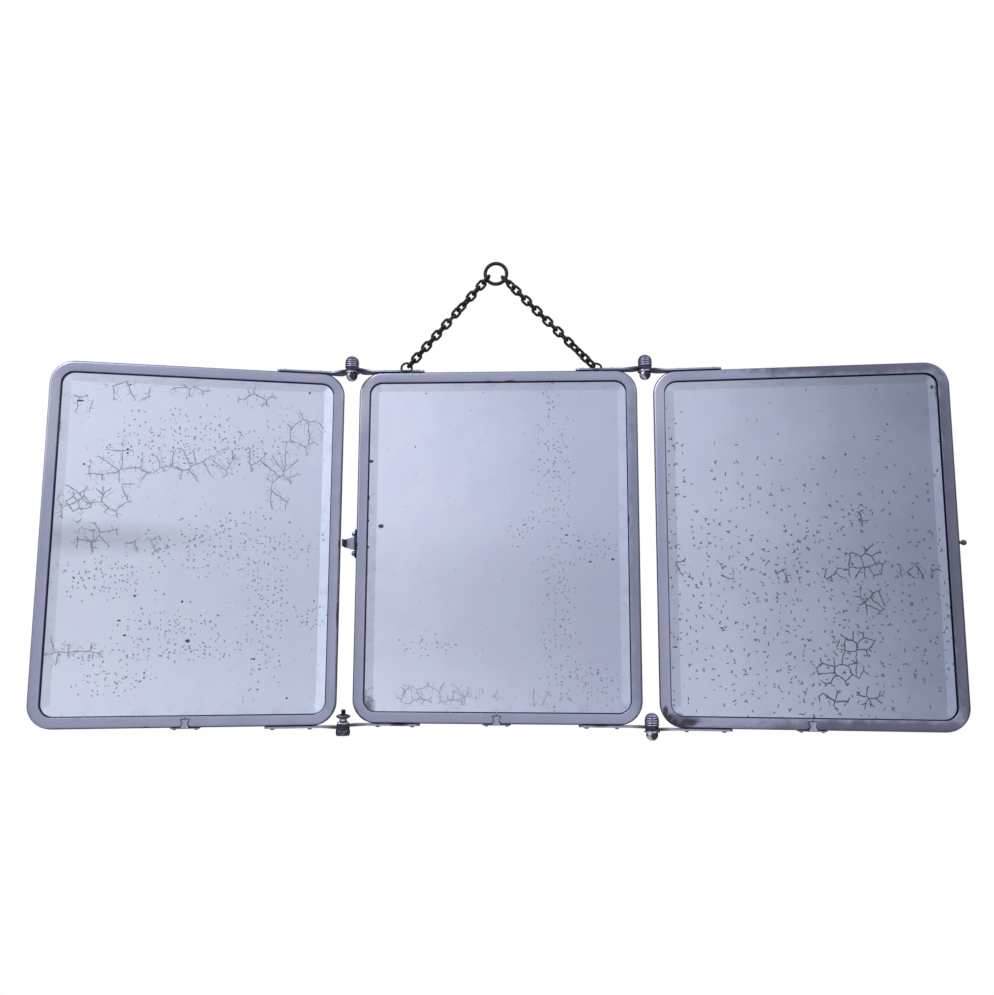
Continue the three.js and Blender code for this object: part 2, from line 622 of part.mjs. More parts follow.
// Anchor ring that leans back about the bottom of its wire.
function anchorRing(x, lean) {
  const upright = ring(ANCHOR_RADIUS, ANCHOR_WIRE, ANCHOR_SIDES, ANCHOR_STEPS).translate([0, 0, ANCHOR_RADIUS]);
  return upright.rotate([-lean, 0, 0]).translate([x, HANG_Y, ANCHOR_AXIS_Z]);
}

// Middle of the wire of an end link that bears inside a ring at this angle.
function gripPoint(centre, radius, wire, angle, lean) {
  const reach = radius - wire - LINK_WIRE - GRIP_CLEARANCE;
  const up = new THREE.Vector3(0, Math.sin(lean * DEGREE), Math.cos(lean * DEGREE));
  return centre
    .clone()
    .add(new THREE.Vector3(reach * Math.cos(angle * DEGREE), 0, 0))
    .addScaledVector(up, reach * Math.sin(angle * DEGREE));
}

function anchorCentre(x, lean) {
  const rise = ANCHOR_RADIUS * Math.cos(lean * DEGREE);
  return new THREE.Vector3(x, HANG_Y + ANCHOR_RADIUS * Math.sin(lean * DEGREE), ANCHOR_AXIS_Z + rise);
}

// Oval link along x in the xy plane: a wire ring pulled apart at its middle.
function link(length) {
  const bend = LINK_WIDTH / 2 - LINK_WIRE;
  const stretch = (length - LINK_WIDTH) / 2;
  const geometry = new THREE.TorusGeometry(bend, LINK_WIRE, LINK_SIDES, LINK_STEPS);
  const position = geometry.getAttribute("position");
  for (let i = 0; i < position.count; i++) {
    const x = position.getX(i);
    position.setX(i, x + Math.sign(x) * stretch);
  }
  return solid(geometry);
}

// How far a chain is twisted at this link, gained smoothly between the links that each row names.
const twistAt = (order, twists) =>
  twists.reduce((sum, [first, last, turn]) => sum + turn * THREE.MathUtils.smoothstep(order, first, last), 0);

// Chain between the middles of its two end wires, each link a quarter turn from the last plus the chain's twist.
function chain(from, to, count, twists) {
  const along = to.clone().sub(from);
  const pitch = (along.length() - 2 * LINK_WIRE + LINK_NIP) / count;
  const linkLength = pitch + 4 * LINK_WIRE - LINK_NIP;
  along.normalize();
  const across = new THREE.Vector3(0, 1, 0).cross(along).normalize();
  const outward = along.clone().cross(across);
  const one = link(linkLength);
  const links = Array.from({ length: count }, (_, order) => {
    const angle = (90 + 90 * order + twistAt(order, twists)) * DEGREE;
    const width = across.clone().multiplyScalar(Math.cos(angle)).addScaledVector(outward, Math.sin(angle));
    const centre = from.clone().addScaledVector(along, linkLength / 2 - LINK_WIRE + order * pitch);
    const place = new THREE.Matrix4().makeBasis(along, width, along.clone().cross(width)).setPosition(centre);
    return one.transform(place.elements);
  });
  return joinAll(links);
}

function addHanger(parent) {
  const ringCentre = new THREE.Vector3(RING_X, HANG_Y, RING_Z);
  const hangingRing = ring(RING_RADIUS, RING_WIRE, RING_SIDES, RING_STEPS).translate(ringCentre.toArray());
  add(parent, "hanging_ring", hangingRing, BLACK);
  const sides = [
    ["left", LEFT_ANCHOR_X, 0, LEFT_RING_GRIP, LEFT_ANCHOR_GRIP, LEFT_LINKS, LEFT_TWISTS],
    ["right", RIGHT_ANCHOR_X, RIGHT_ANCHOR_LEAN, RIGHT_RING_GRIP, RIGHT_ANCHOR_GRIP, RIGHT_LINKS, RIGHT_TWISTS],
  ];
  for (const [name, x, lean, ringGrip, anchorGrip, count, twists] of sides) {
    const top = gripPoint(ringCentre, RING_RADIUS, RING_WIRE, ringGrip, 0);
    const foot = gripPoint(anchorCentre(x, lean), ANCHOR_RADIUS, ANCHOR_WIRE, anchorGrip, lean);
    add(parent, `chain_${name}`, chain(top, foot, count, twists), BLACK);
    add(parent, `anchor_ring_${name}`, anchorRing(x, lean), BLACK);
  }
}

function addCentre(parent) {
  const left = { side: -1, length: LEFT_CENTRE_STRAP, gap: LEFT_GAP, forward: LEFT_AXIS_FORWARD };
  const right = { side: 1, length: RIGHT_CENTRE_STRAP, gap: RIGHT_GAP, forward: RIGHT_AXIS_FORWARD };
  addLeaf(parent, "centre", [
    ...strapHoles(left.side, left.length),
    ...strapHoles(right.side, right.length),
    ...[LEFT_ANCHOR_X, RIGHT_ANCHOR_X].map(anchorNotch),
    ...[-1, 1].map((end) => sideHole(-1, end * LATCH_RIVET_OFFSET)),
  ]);
  addStraps(parent, "centre_left", { ...left, anchorX: LEFT_ANCHOR_X });
  addStraps(parent, "centre_right", { ...right, anchorX: RIGHT_ANCHOR_X });
  addHinges(parent, "left", left.side, left.gap, left.forward);
  addHinges(parent, "right", right.side, right.gap, right.forward);
  add(parent, "latch_plate", latch(), DULL);
  for (const [name, end] of [["upper", 1], ["lower", -1]]) {
    const seat = [-HALF_WIDTH - 2 * FIT - LATCH_THICKNESS, 0, end * LATCH_RIVET_OFFSET];
    add(parent, `latch_rivet_${name}`, latchRivet().translate(seat), BRIGHT);
  }
}

// A wing leaf, in a group that turns about its hinge axis.
function addWing(parent, name, { side, gap, forward, angle }, holes) {
  const hinge = new THREE.Group();
  hinge.position.set(side * (HALF_WIDTH + gap), -forward, -WING_DROP);
  hinge.rotation.z = -side * angle * DEGREE;
  const leaf = new THREE.Group();
  leaf.position.set(side * (HALF_WIDTH + gap), forward, 0);
  hinge.add(leaf);
  parent.add(hinge);
  addLeaf(leaf, name, [...strapHoles(-side, WING_STRAP), ...holes]);
  addStraps(leaf, name, { side: -side, length: WING_STRAP, gap, forward });
  return leaf;
}

const part = new THREE.Group();
const mirror = new THREE.Group();
mirror.position.set(-RING_X, -HANG_Y, -(RING_Z + RING_RADIUS - RING_WIRE));
part.add(mirror);
addHanger(mirror);
addCentre(mirror);
addWing(mirror, "left", { side: -1, gap: LEFT_GAP, forward: LEFT_AXIS_FORWARD, angle: LEFT_ANGLE }, []);
const rightWing = { side: 1, gap: RIGHT_GAP, forward: RIGHT_AXIS_FORWARD, angle: RIGHT_ANGLE };
const rightLeaf = addWing(mirror, "right", rightWing, [sideHole(1, 0)]);
add(rightLeaf, "latch_knob", knob().translate([HALF_WIDTH, 0, 0]), BRIGHT);

export default part;
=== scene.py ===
"""Hanging three-leaf mirror: nickel channel frames, bevelled silvered glass, strap hinges, ring and chain."""

import functools
import json
import math

import bpy
from mathutils import Matrix, Vector


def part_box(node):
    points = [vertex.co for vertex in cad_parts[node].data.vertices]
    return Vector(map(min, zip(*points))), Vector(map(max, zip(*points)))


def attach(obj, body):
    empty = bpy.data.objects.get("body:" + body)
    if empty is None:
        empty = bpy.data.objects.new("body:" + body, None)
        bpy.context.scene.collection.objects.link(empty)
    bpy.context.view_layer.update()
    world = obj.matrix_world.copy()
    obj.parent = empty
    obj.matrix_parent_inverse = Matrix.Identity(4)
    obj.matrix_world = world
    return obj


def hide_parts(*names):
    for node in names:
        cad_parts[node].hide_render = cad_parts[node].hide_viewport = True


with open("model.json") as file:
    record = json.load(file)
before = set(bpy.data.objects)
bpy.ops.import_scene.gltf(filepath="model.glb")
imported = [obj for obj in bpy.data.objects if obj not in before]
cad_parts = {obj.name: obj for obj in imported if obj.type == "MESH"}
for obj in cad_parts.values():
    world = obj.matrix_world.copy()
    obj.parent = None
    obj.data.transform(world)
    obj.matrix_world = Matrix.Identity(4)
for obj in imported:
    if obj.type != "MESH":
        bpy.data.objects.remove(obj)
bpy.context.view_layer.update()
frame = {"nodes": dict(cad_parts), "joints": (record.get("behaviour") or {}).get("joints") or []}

bl_info = {
    "name": "Hanging three-leaf mirror",
    "version": (1, 0, 0),
    "blender": (4, 5, 0),
    "location": "3D View > Sidebar > Mirror",
    "description": "Models and finishes a hanging mirror of three hinged leaves",
    "category": "Object",
}

MM = 0.001
# Points closer together than this are at the same place.
TOUCHING = 1e-6

# Which way each wing lies from the centre leaf, and the joint it turns on.
WINGS = {"left": (-1, "left_hinge"), "right": (1, "right_hinge")}
ENDS = {"top": 1, "bottom": -1}
BODIES = {"centre": "centre", "left": "left_wing", "right": "right_wing"}
JOINTS = {joint["name"]: joint for joint in frame["joints"]}

# Ageing of each leaf, as ovals in millimetres from its middle: (x, z, half width, half height).
# Cracks branch, and crazing closes into small cells.
CRACKS = {
    "left": [
        (-60, 62, 36, 24), (-16, 66, 34, 20), (-60, 128, 30, 12), (-96, 116, 15, 14), (-8, 131, 22, 9),
        (47, 128, 24, 13), (86, 100, 26, 26), (72, 64, 20, 24), (66, 40, 15, 18), (21, 70, 18, 18),
        (50, 74, 18, 15), (-66, 33, 24, 20), (-96, 30, 20, 24), (-77, 2, 24, 18), (-38, -3, 26, 9),
        (-104, -90, 18, 15), (-80, -91, 22, 9),
    ],
    "centre": [(-50, -128, 52, 13), (6, -129, 16, 9), (34, -131, 17, 10)],
    "right": [(84, -23, 26, 9), (-20, -26, 10, 8), (-64, -24, 10, 9), (-102, -19, 9, 12), (45, 21, 9, 9)],
}
CRAZING = {
    "left": [(-84, 1, 13, 12), (-92, 32, 14, 12)],
    "centre": [(-72, -130, 20, 9), (-30, -131, 18, 8), (-108, -129, 7, 9)],
    "right": [
        (47, -17, 22, 20), (51, -49, 16, 17), (22, -25, 14, 8), (38, -83, 20, 14), (24, -104, 26, 16),
        (17, -127, 15, 10), (46, -125, 13, 12), (92, -25, 20, 6),
    ],
}
SPOTS = {
    "left": [
        (-57, 78, 1.1, 1.0), (-57, 74.6, 1.1, 1.0), (-91, 64, 1.1, 1.1), (-45, -45, 1.2, 1.1),
        (-7, -49.6, 1.3, 1.2), (-1, -82, 2.3, 1.8), (-51, -77.5, 1.5, 1.0), (-56, -65.5, 2.0, 0.8),
        (-97, 118, 3.6, 0.9), (53, -97, 1.3, 1.0), (92, 134, 1.2, 1.1), (81, -129.5, 1.0, 1.0),
        (-34, -108, 0.9, 0.9), (-34, -112, 0.9, 0.9), (-93, -31, 1.0, 0.9), (-10, 20, 0.8, 0.8),
        (-58, 134, 1.1, 0.8),
    ],
    "centre": [
        (-111, 72.5, 2.6, 1.6), (-101, 15, 3.0, 2.1), (-63, 133, 0.8, 0.8), (-112.5, 40, 1.0, 3.0),
        (-112.5, 20, 1.1, 1.8), (-112, -3, 1.0, 1.3), (60, 7, 1.8, 0.8), (-72, 85, 0.8, 0.8),
        (-113, 95, 0.8, 1.2), (70, 2, 1.6, 0.7), (99, -14, 1.5, 1.2), (80, -16, 1.6, 0.8),
    ],
    "right": [
        (108.5, 131, 1.6, 2.0), (-108, -86, 1.3, 1.1), (36, 75, 1.2, 1.0), (71, 100, 0.9, 0.9),
        (-70, -70, 1.4, 0.8),
    ],
}
# Where short scratches in the silvering lie thick.
SCRATCHED = {
    "left": [
        (0, 86, 105, 40), (30, 0, 100, 36), (-60, -30, 60, 30), (-20, -70, 60, 22), (60, -60, 27, 95),
        (-20, -90, 130, 12), (-60, -112, 46, 26), (100, -62, 26, 18),
    ],
    "centre": [
        (50, 66, 26, 75), (46, 115, 14, 45), (52, -20, 24, 85), (54, -90, 26, 80), (84, -4, 30, 22),
        (20, 12, 20, 20), (-60, -88, 40, 18), (75, -120, 45, 30),
    ],
    "right": [(0, -55, 290, 185), (-105, 60, 14, 110)],
}
# Where the plating has rusted or gathered grime, where painted shade and painted highlights fall on the
# frames, and where the silvering is stained or dull.
RUST = {
    "left": [(-30, -152, 4, 1.2), (121, -60, 1.2, 14)],
    "centre": [(11, 143.4, 6, 0.9), (-8, 143.3, 3.5, 0.6), (113.2, 20, 0.7, 5)],
    "right": [
        (-117.8, -139, 2.8, 6), (-115, -144, 3.6, 3.8), (-110.8, -147.6, 4.6, 3.4),
        (-105, -149.6, 5.2, 2.6), (-98.5, -147.2, 9, 3.3),
    ],
}
# Grime and painted shade: the bands down each frame's right side and along its bottom are painted shade.
GRIME_AND_SHADE = {
    "left": [(123, 0, 3.6, 200), (0, -153.5, 200, 2.2)],
    "centre": [(122, 0, 11, 260), (0, -153.5, 200, 2.0)],
    "right": [(121, 0, 18, 300), (60, 152, 130, 13), (60, -152, 150, 13), (-107, -146, 22, 9)],
}
# Painted highlights on the upper left side of each frame.
PAINTED_HIGHLIGHTS = {"left": [(-121, 100, 13, 70)], "centre": [(-118, 130, 14, 40)], "right": [(-120, 130, 13, 60)]}
STAINS = {
    "left": [(-112, 141, 5, 5), (-113, 95, 2.5, 20), (-114, -140, 3, 10)],
    "centre": [(-109, -138, 8, 12), (-113, -20, 1.6, 30)],
    "right": [(-108, -142, 6, 3), (112, 128, 2, 12)],
}
DULLED = {
    "left": [(-95, 3, 150, 20)],
    "centre": [(0, -80, 260, 115)],
    "right": [(100, 115, 60, 38)],
}
# How strong the grime and painted shade on each frame and the dulling of each silvering are, how dark its
# scratches and cracks, and what share of the cells in a scratched place holds a scratch.
GRIME_AND_SHADE_AMOUNT = {"left": 0.44, "centre": 0.34, "right": 0.66}
DULLING = {"left": 0.26, "centre": 0.11, "right": 0.20}
SCRATCH_DEPTH = {"left": 0.78, "centre": 0.66, "right": 0.90}
SCRATCH_CHANCE = {"left": 0.60, "centre": 0.60, "right": 0.56}
CRACK_DEPTH = {"left": 0.64, "centre": 0.42, "right": 0.95}
# Two layers of scratches on each leaf, in millimetres: the cell that holds one, half its length and
# half its width.
SCRATCH_SIZES = {
    "left": ((5.6, 0.95, 0.34), (4.1, 0.65, 0.28)),
    "centre": ((6.0, 0.95, 0.33), (4.4, 0.65, 0.28)),
    "right": ((9.0, 1.45, 0.40), (6.2, 1.0, 0.34)),
}


def length(name, description, millimetres):
    """A size property, given in millimetres."""
    return bpy.props.FloatProperty(
        name=name, description=description, default=millimetres * MM, min=0.0, unit="LENGTH", precision=4
    )


def count(name, description, value):
    """A whole number property."""
    return bpy.props.IntProperty(name=name, description=description, default=value, min=3)


def colour(name, description, red, green, blue):
    """A colour property, given as linear light."""
    return bpy.props.FloatVectorProperty(
        name=name, description=description, default=(red, green, blue), min=0.0, max=1.0, size=3,
        subtype="COLOR",
    )


def span(node, axis):
    """How long a solid is along an axis, in millimetres."""
    low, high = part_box(node)
    return (high[axis] - low[axis]) / MM


class MirrorSizes(bpy.types.PropertyGroup):
    """Sizes of the mirror's pieces."""

    leaf_width: length("Leaf width", "Width of each framed leaf", span("centre_frame", 0))
    leaf_height: length("Leaf height", "Height of each framed leaf", span("centre_frame", 2))
    channel_depth: length("Channel depth", "Front to back size of the frame", span("centre_frame", 1))
    corner_radius: length("Corner radius", "Radius of a leaf's corners", 20)
    channel_wall: length("Channel wall", "Thickness of the rolled metal", 1.2)
    channel_rounding: length("Channel rounding", "Radius of the channel's outer edges", 2.6)
    front_lip: length("Front lip", "Width of the frame's front band", 9.6)
    back_lip: length("Back lip", "Width of the frame's back band", 7)
    saw_cut: length("Saw cut", "Gap where the channel's ends meet", 0.5)
    corner_steps: count("Corner steps", "Faces round each corner", 14)
    glass_thickness: length("Glass thickness", "Thickness of the plate glass", 4)
    glass_cover: length("Glass cover", "How far the lip reaches over the glass", 5)
    glass_gap: length("Glass gap", "Room between lip and glass", 0.3)
    bevel_width: length("Bevel width", "Width of the bevel ground round the glass", 13)
    bevel_drop: length("Bevel drop", "How far the bevel falls back at the edge", 1.6)
    strap_thickness: length("Strap thickness", "Thickness of the hinge straps", 1.5)
    strap_width: length("Strap width", "Width of the hinge straps", 10)
    strap_end: length("Strap end radius", "Radius of the strap's free corners", 4)
    strap_arm: length("Strap arm", "Length over which a strap widens into its eye's arm", 12)
    eye_radius: length("Eye radius", "Radius of a strap's eye", 5.6)
    eye_hole: length("Eye hole", "Radius of the hole in an eye", 2.3)
    strap_stand: length("Strap stand", "Room between strap and frame", 0.3)
    rivet_radius: length("Rivet radius", "Radius of a strap rivet's head", 2.3)
    rivet_height: length("Rivet height", "Height of a strap rivet's head", 1.3)
    clip_rivet_radius: length("Clip rivet radius", "Radius of a clip rivet's head", 1.9)
    clip_rivet_height: length("Clip rivet height", "Height of a clip rivet's head", 1.0)
    shank_radius: length("Shank radius", "Radius of the rivets' shanks", 1.1)
    clip_thickness: length("Clip thickness", "Thickness of the joint clips", 0.6)
    clip_length: length("Clip length", "Length of the plate under the leaf", 24)
    clip_width: length("Clip width", "Front to back size of that plate", 8.5)
    tongue_width: length("Tongue width", "Width of the clip's tongue", 8)
    tongue_waist: length("Tongue waist", "Width of the tongue at its waist", 5.4)
    tongue_height: length("Tongue height", "Height of the tongue on the lip", 7.6)
    nut_radius: length("Nut radius", "Radius of the ribbed dome nuts", 6.2)
    nut_height: length("Nut height", "Height of the ribbed dome nuts", 10.7)
    rib_depth: length("Rib depth", "Depth of the grooves between the ribs", 0.85)
    bolt_radius: length("Bolt radius", "Radius of the hinge bolts", 2)
    collar_radius: length("Collar radius", "Radius of the collar over the ball", 6.5)
    collar_thickness: length("Collar thickness", "Thickness of the collar", 1.3)
    ball_radius: length("Ball radius", "Radius of the polished balls", 5)
    ball_seat: length("Ball seat", "How far the ball's middle lies under the collar", 1.8)
    knob_radius: length("Knob radius", "Radius of the latch knob's ball", 2.35)
    latch_thickness: length("Latch thickness", "Thickness of the latch plate", 0.8)
    latch_tip: length("Latch tip", "Height of the latch tongue", 6.8)
    ring_wire: length("Ring wire", "Wire radius of the hanging ring", 1.6)
    anchor_wire: length("Anchor wire", "Wire radius of the anchor rings", 1.0)
    link_wire: length("Link wire", "Wire radius of the chain's links", 1.25)
    link_width: length("Link width", "Width of a link across the chain", 8.5)


class MirrorColours(bpy.types.PropertyGroup):
    """Colours of the mirror's finishes."""

    nickel: colour("Nickel", "Satin nickel plating", 0.365, 0.378, 0.545)
    nickel_worn: colour("Worn nickel", "Nickel where it has dulled", 0.325, 0.362, 0.505)
    # Tarnish also serves as painted shade: on the frames' sides, inner edges, feet and right sides, round the
    # clips' tongues, on the latch's tip and root, and on the balls' lower right.
    tarnish_and_shade: colour("Tarnish", "Dark oxide in creases and on the sides", 0.030, 0.030, 0.052)
    # Bright nickel also serves as the painted highlight on the frames' upper left sides.
    bright: colour("Bright nickel", "Polished balls and collars", 0.56, 0.57, 0.68)
    steel: colour("Steel", "Rivets and replacement hardware", 0.130, 0.130, 0.160)
    rust: colour("Rust", "Rust and browned plating", 0.076, 0.052, 0.060)
    wire: colour("Black wire", "Blackened wire of ring and chain", 0.020, 0.019, 0.024)
    board: colour("Backing board", "Aged board behind the glass", 0.150, 0.098, 0.058)
    board_dark: colour("Board stain", "Stains in the backing board", 0.060, 0.038, 0.022)
    # Each leaf's silver colours hold the silvering's own tint and a painted reflection of the room: the light
    # and dark values, and the darker right leaf, stand in for what each leaf reflects.
    silver_left_light: colour("Left silver, light", "Silvering of the left leaf", 0.735, 0.800, 0.980)
    silver_left_dark: colour("Left silver, dark", "Its duller side", 0.610, 0.680, 0.860)
    silver_centre_light: colour("Centre silver, light", "Silvering of the centre leaf", 0.740, 0.795, 1.0)
    silver_centre_dark: colour("Centre silver, dark", "Its duller side", 0.490, 0.545, 0.725)
    silver_right_light: colour("Right silver, light", "Silvering of the right leaf", 0.560, 0.625, 0.800)
    silver_right_dark: colour("Right silver, dark", "Its duller side", 0.270, 0.312, 0.428)
    bare_silver: colour("Bare patch", "Where the silvering has lifted", 0.082, 0.090, 0.122)


# --------------------------------------------------------------------------------------------------
# Finishes


def arithmetic(operation, swapped=False):
    """A method of Number that adds a Math node for one operation."""

    def method(self, *others):
        values = (*others, self) if swapped else (self, *others)
        return self.nodes.number("ShaderNodeMath", {"operation": operation}, dict(enumerate(values)))

    return method


class Number:
    """A number in a node tree, on which plain arithmetic adds Math nodes."""

    def __init__(self, nodes, socket):
        self.nodes = nodes
        self.socket = socket

    __add__ = arithmetic("ADD")
    __radd__ = arithmetic("ADD", swapped=True)
    __sub__ = arithmetic("SUBTRACT")
    __rsub__ = arithmetic("SUBTRACT", swapped=True)
    __mul__ = arithmetic("MULTIPLY")
    __rmul__ = arithmetic("MULTIPLY", swapped=True)
    __truediv__ = arithmetic("DIVIDE")
    __abs__ = arithmetic("ABSOLUTE")
    cosine = arithmetic("COSINE")
    sine = arithmetic("SINE")
    larger = arithmetic("MAXIMUM")

    def rise(self, low, high, first=0.0, last=1.0):
        """The first value before low, the last past high, and a soft step between. It may run downwards."""
        if low > high:
            low, high, first, last = high, low, last, first
        settings = {"interpolation_type": "SMOOTHSTEP", "clamp": True}
        inputs = {"Value": self, "From Min": low, "From Max": high, "To Min": first, "To Max": last}
        return self.nodes.number("ShaderNodeMapRange", settings, inputs)


def largest(numbers):
    """The largest of some numbers at each point."""
    return functools.reduce(Number.larger, numbers)


class Nodes:
    """A node tree under construction."""

    def __init__(self, tree):
        self.tree = tree
        tree.nodes.clear()

    def node(self, kind, settings=None, inputs=None):
        """Adds a node with these settings, and these values or links for its sockets."""
        made = self.tree.nodes.new(kind)
        for key, value in (settings or {}).items():
            setattr(made, key, value)
        for key, value in (inputs or {}).items():
            self.feed(made.inputs[key], value)
        return made

    def feed(self, socket, value):
        """Links a number or another node's socket to a socket, or gives it a plain value."""
        if isinstance(value, Number):
            value = value.socket
        if isinstance(value, bpy.types.NodeSocket):
            self.tree.links.new(value, socket)
        else:
            socket.default_value = value

    def number(self, kind, settings, inputs, output=0):
        """Adds a node, and gives one of its outputs as a number."""
        return Number(self, self.node(kind, settings, inputs).outputs[output])

    def split(self, vector):
        """The three parts of a vector, as numbers."""
        parts = self.node("ShaderNodeSeparateXYZ", inputs={0: vector})
        return [Number(self, output) for output in parts.outputs]


class Finish(Nodes):
    """A material under construction. Its patterns read Object coordinates in millimetres about a place."""

    def __init__(self, name, place=None):
        self.material = bpy.data.materials.new(name)
        self.material.use_nodes = True
        super().__init__(self.material.node_tree)
        self.shader = self.node("ShaderNodeBsdfPrincipled")
        self.output = self.node("ShaderNodeOutputMaterial", inputs={"Surface": self.shader.outputs[0]})
        place = place or Matrix()
        settings = {"vector_type": "TEXTURE"}
        inputs = {
            "Vector": self.node("ShaderNodeTexCoord").outputs["Object"],
            "Location": place.to_translation(),
            "Rotation": place.to_euler(),
            "Scale": (MM, MM, MM),
        }
        self.spot = self.node("ShaderNodeMapping", settings, inputs).outputs[0]
        self.x, self.y, self.z = self.split(self.spot)

    def set(self, name, value):
        """Sets one of the shader's inputs."""
        self.feed(self.shader.inputs[name], value)

    def join(self, x, y):
        """A flat vector of two numbers."""
        return self.node("ShaderNodeCombineXYZ", inputs={0: x, 1: y}).outputs[0]

    def vector_math(self, operation, *values):
        """A vector worked out from vectors."""
        return self.node("ShaderNodeVectorMath", {"operation": operation}, dict(enumerate(values))).outputs[0]

    def reach(self, vector):
        """How long a vector is."""
        return self.number("ShaderNodeVectorMath", {"operation": "LENGTH"}, {0: vector}, "Value")

    def noise(self, size, detail=3.0, roughness=0.55, stretch=None):
        """Soft noise whose blotches are about this many millimetres across."""
        vector = self.vector_math("MULTIPLY", self.spot, stretch) if stretch else self.spot
        inputs = {"Vector": vector, "Scale": 1.0 / size, "Detail": detail, "Roughness": roughness}
        return self.number("ShaderNodeTexNoise", None, inputs, "Fac")

    def ragged(self, amount, *noise):
        """Noise about zero, to push the edge of a pattern about by up to half this amount."""
        return (self.noise(*noise) - 0.5) * amount

    def warped(self, vector, size, amount):
        """The vector, pushed about by noise of this size by up to this many millimetres."""
        inputs = {"Vector": vector, "Scale": 1.0 / size, "Detail": 2.0}
        push = self.node("ShaderNodeTexNoise", None, inputs).outputs["Color"]
        push = self.vector_math("SUBTRACT", push, (0.5, 0.5, 0.5))
        push = self.vector_math("MULTIPLY", push, (2 * amount,) * 3)
        return self.vector_math("ADD", vector, push)

    def cells(self, size, vector, feature="F1"):
        """A node that divides the plane into uneven cells of about this size."""
        settings = {"voronoi_dimensions": "2D", "feature": feature}
        return self.node("ShaderNodeTexVoronoi", settings, {"Vector": vector, "Scale": 1.0 / size})

    def off_wall(self, size, vector):
        """How far it is to the nearest wall between cells of this size, as a share of the size."""
        return Number(self, self.cells(size, vector, "DISTANCE_TO_EDGE").outputs["Distance"])

    def mix(self, mask, first, second):
        """The first colour where the mask is 0 and the second where it is 1."""

        def opaque(tint):
            return tint if isinstance(tint, bpy.types.NodeSocket) else (*tint, 1.0)

        inputs = {0: mask, 6: opaque(first), 7: opaque(second)}
        return self.node("ShaderNodeMix", {"data_type": "RGBA"}, inputs).outputs[2]

    def patches(self, rows, soft, ragged=0.0):
        """1 inside any of some ovals on the leaf, falling to 0 over the soft share of their radius."""

        def oval(x, z, width, height):
            reach = self.reach(self.join((self.x - x) / width, (self.z - z) / height))
            return (reach + ragged).rise(1.0, 1.0 - soft)

        return largest(oval(*row) for row in rows)

    def bump(self, height, strength, distance):
        """A Bump node that feeds the shader's Normal; the distance is in millimetres."""
        inputs = {"Height": height, "Strength": strength, "Distance": distance * MM}
        self.set("Normal", self.node("ShaderNodeBump", None, inputs).outputs[0])


def nickel_frame(leaf):
    """Satin nickel on a leaf's channel: dulled patches, painted shade on its sides, inner edge and foot,
    grime and painted shade on its right side, a painted highlight on its upper left side, pits and a little
    rust.
    """
    sizes, colours = bpy.context.scene.mirror_sizes, bpy.context.scene.mirror_colours
    finish = Finish("channel_nickel_" + leaf, leaf_place(leaf))
    dulled = finish.noise(26, 4, 0.6).rise(0.42, 0.60)
    tint = finish.mix(dulled, colours.nickel, colours.nickel_worn)
    streaks = finish.noise(5, 3, 0.6, stretch=(0.25, 1, 0.25))
    # Painted shade: everything behind the channel's front face, its sides and back, is darkened.
    turned_away_shade = (finish.y + (streaks - 0.5) * 0.5).rise(-4.75, -2.6)
    half_width, half_height = sizes.leaf_width / 2 / MM, sizes.leaf_height / 2 / MM
    within = abs(finish.x).rise(half_width - 6.7, half_width - 7.9)
    within = within * abs(finish.z).rise(half_height - 6.7, half_height - 7.9)
    # Painted shade on the lip's inner edge over the glass.
    inner = within * finish.y.rise(-4.85, -4.55)
    # Grime, and painted shade on each frame's right side and bottom.
    grime_and_shade = finish.patches(GRIME_AND_SHADE[leaf], 0.6, finish.ragged(0.8, 9, 3))
    # Painted shade along the channel's underside.
    foot = (finish.z + (streaks - 0.5) * 0.4).rise(1.6 - half_height, 0.8 - half_height)
    # Mixes the painted shade of sides, inner edge and foot with the grime and painted shade of the patches.
    dark = largest((turned_away_shade * 0.86, inner * 0.9, foot * 0.8, grime_and_shade * GRIME_AND_SHADE_AMOUNT[leaf]))
    # Painted highlight: the upper left side of each frame is mixed towards bright nickel.
    rubbed = finish.patches(PAINTED_HIGHLIGHTS[leaf], 0.8)
    tint = finish.mix(dark, finish.mix(rubbed * 0.45, tint, colours.bright), colours.tarnish_and_shade)
    pits = finish.noise(1.3, 2, 0.5).rise(0.68, 0.76) * finish.noise(16, 2).rise(0.46, 0.60)
    tint = finish.mix(pits * 0.5, tint, colours.tarnish_and_shade)
    rust = finish.patches(RUST[leaf], 0.45, finish.ragged(0.7, 3.5, 4, 0.7))
    rusted = finish.mix(finish.noise(2.5, 3).rise(0.38, 0.54), colours.rust, colours.tarnish_and_shade)
    tint = finish.mix(rust * 0.93, tint, rusted)
    finish.set("Base Color", tint)
    finish.set("Metallic", 0.92 - rust * 0.6 - pits * 0.3)
    finish.set("Roughness", 0.29 + dulled * 0.06 + streaks * 0.10 + rust * 0.25)
    finish.bump(streaks * 0.5 + finish.noise(0.9, 2) * 0.5 - pits - rust * 0.5, 0.12, 0.25)
    return finish.material


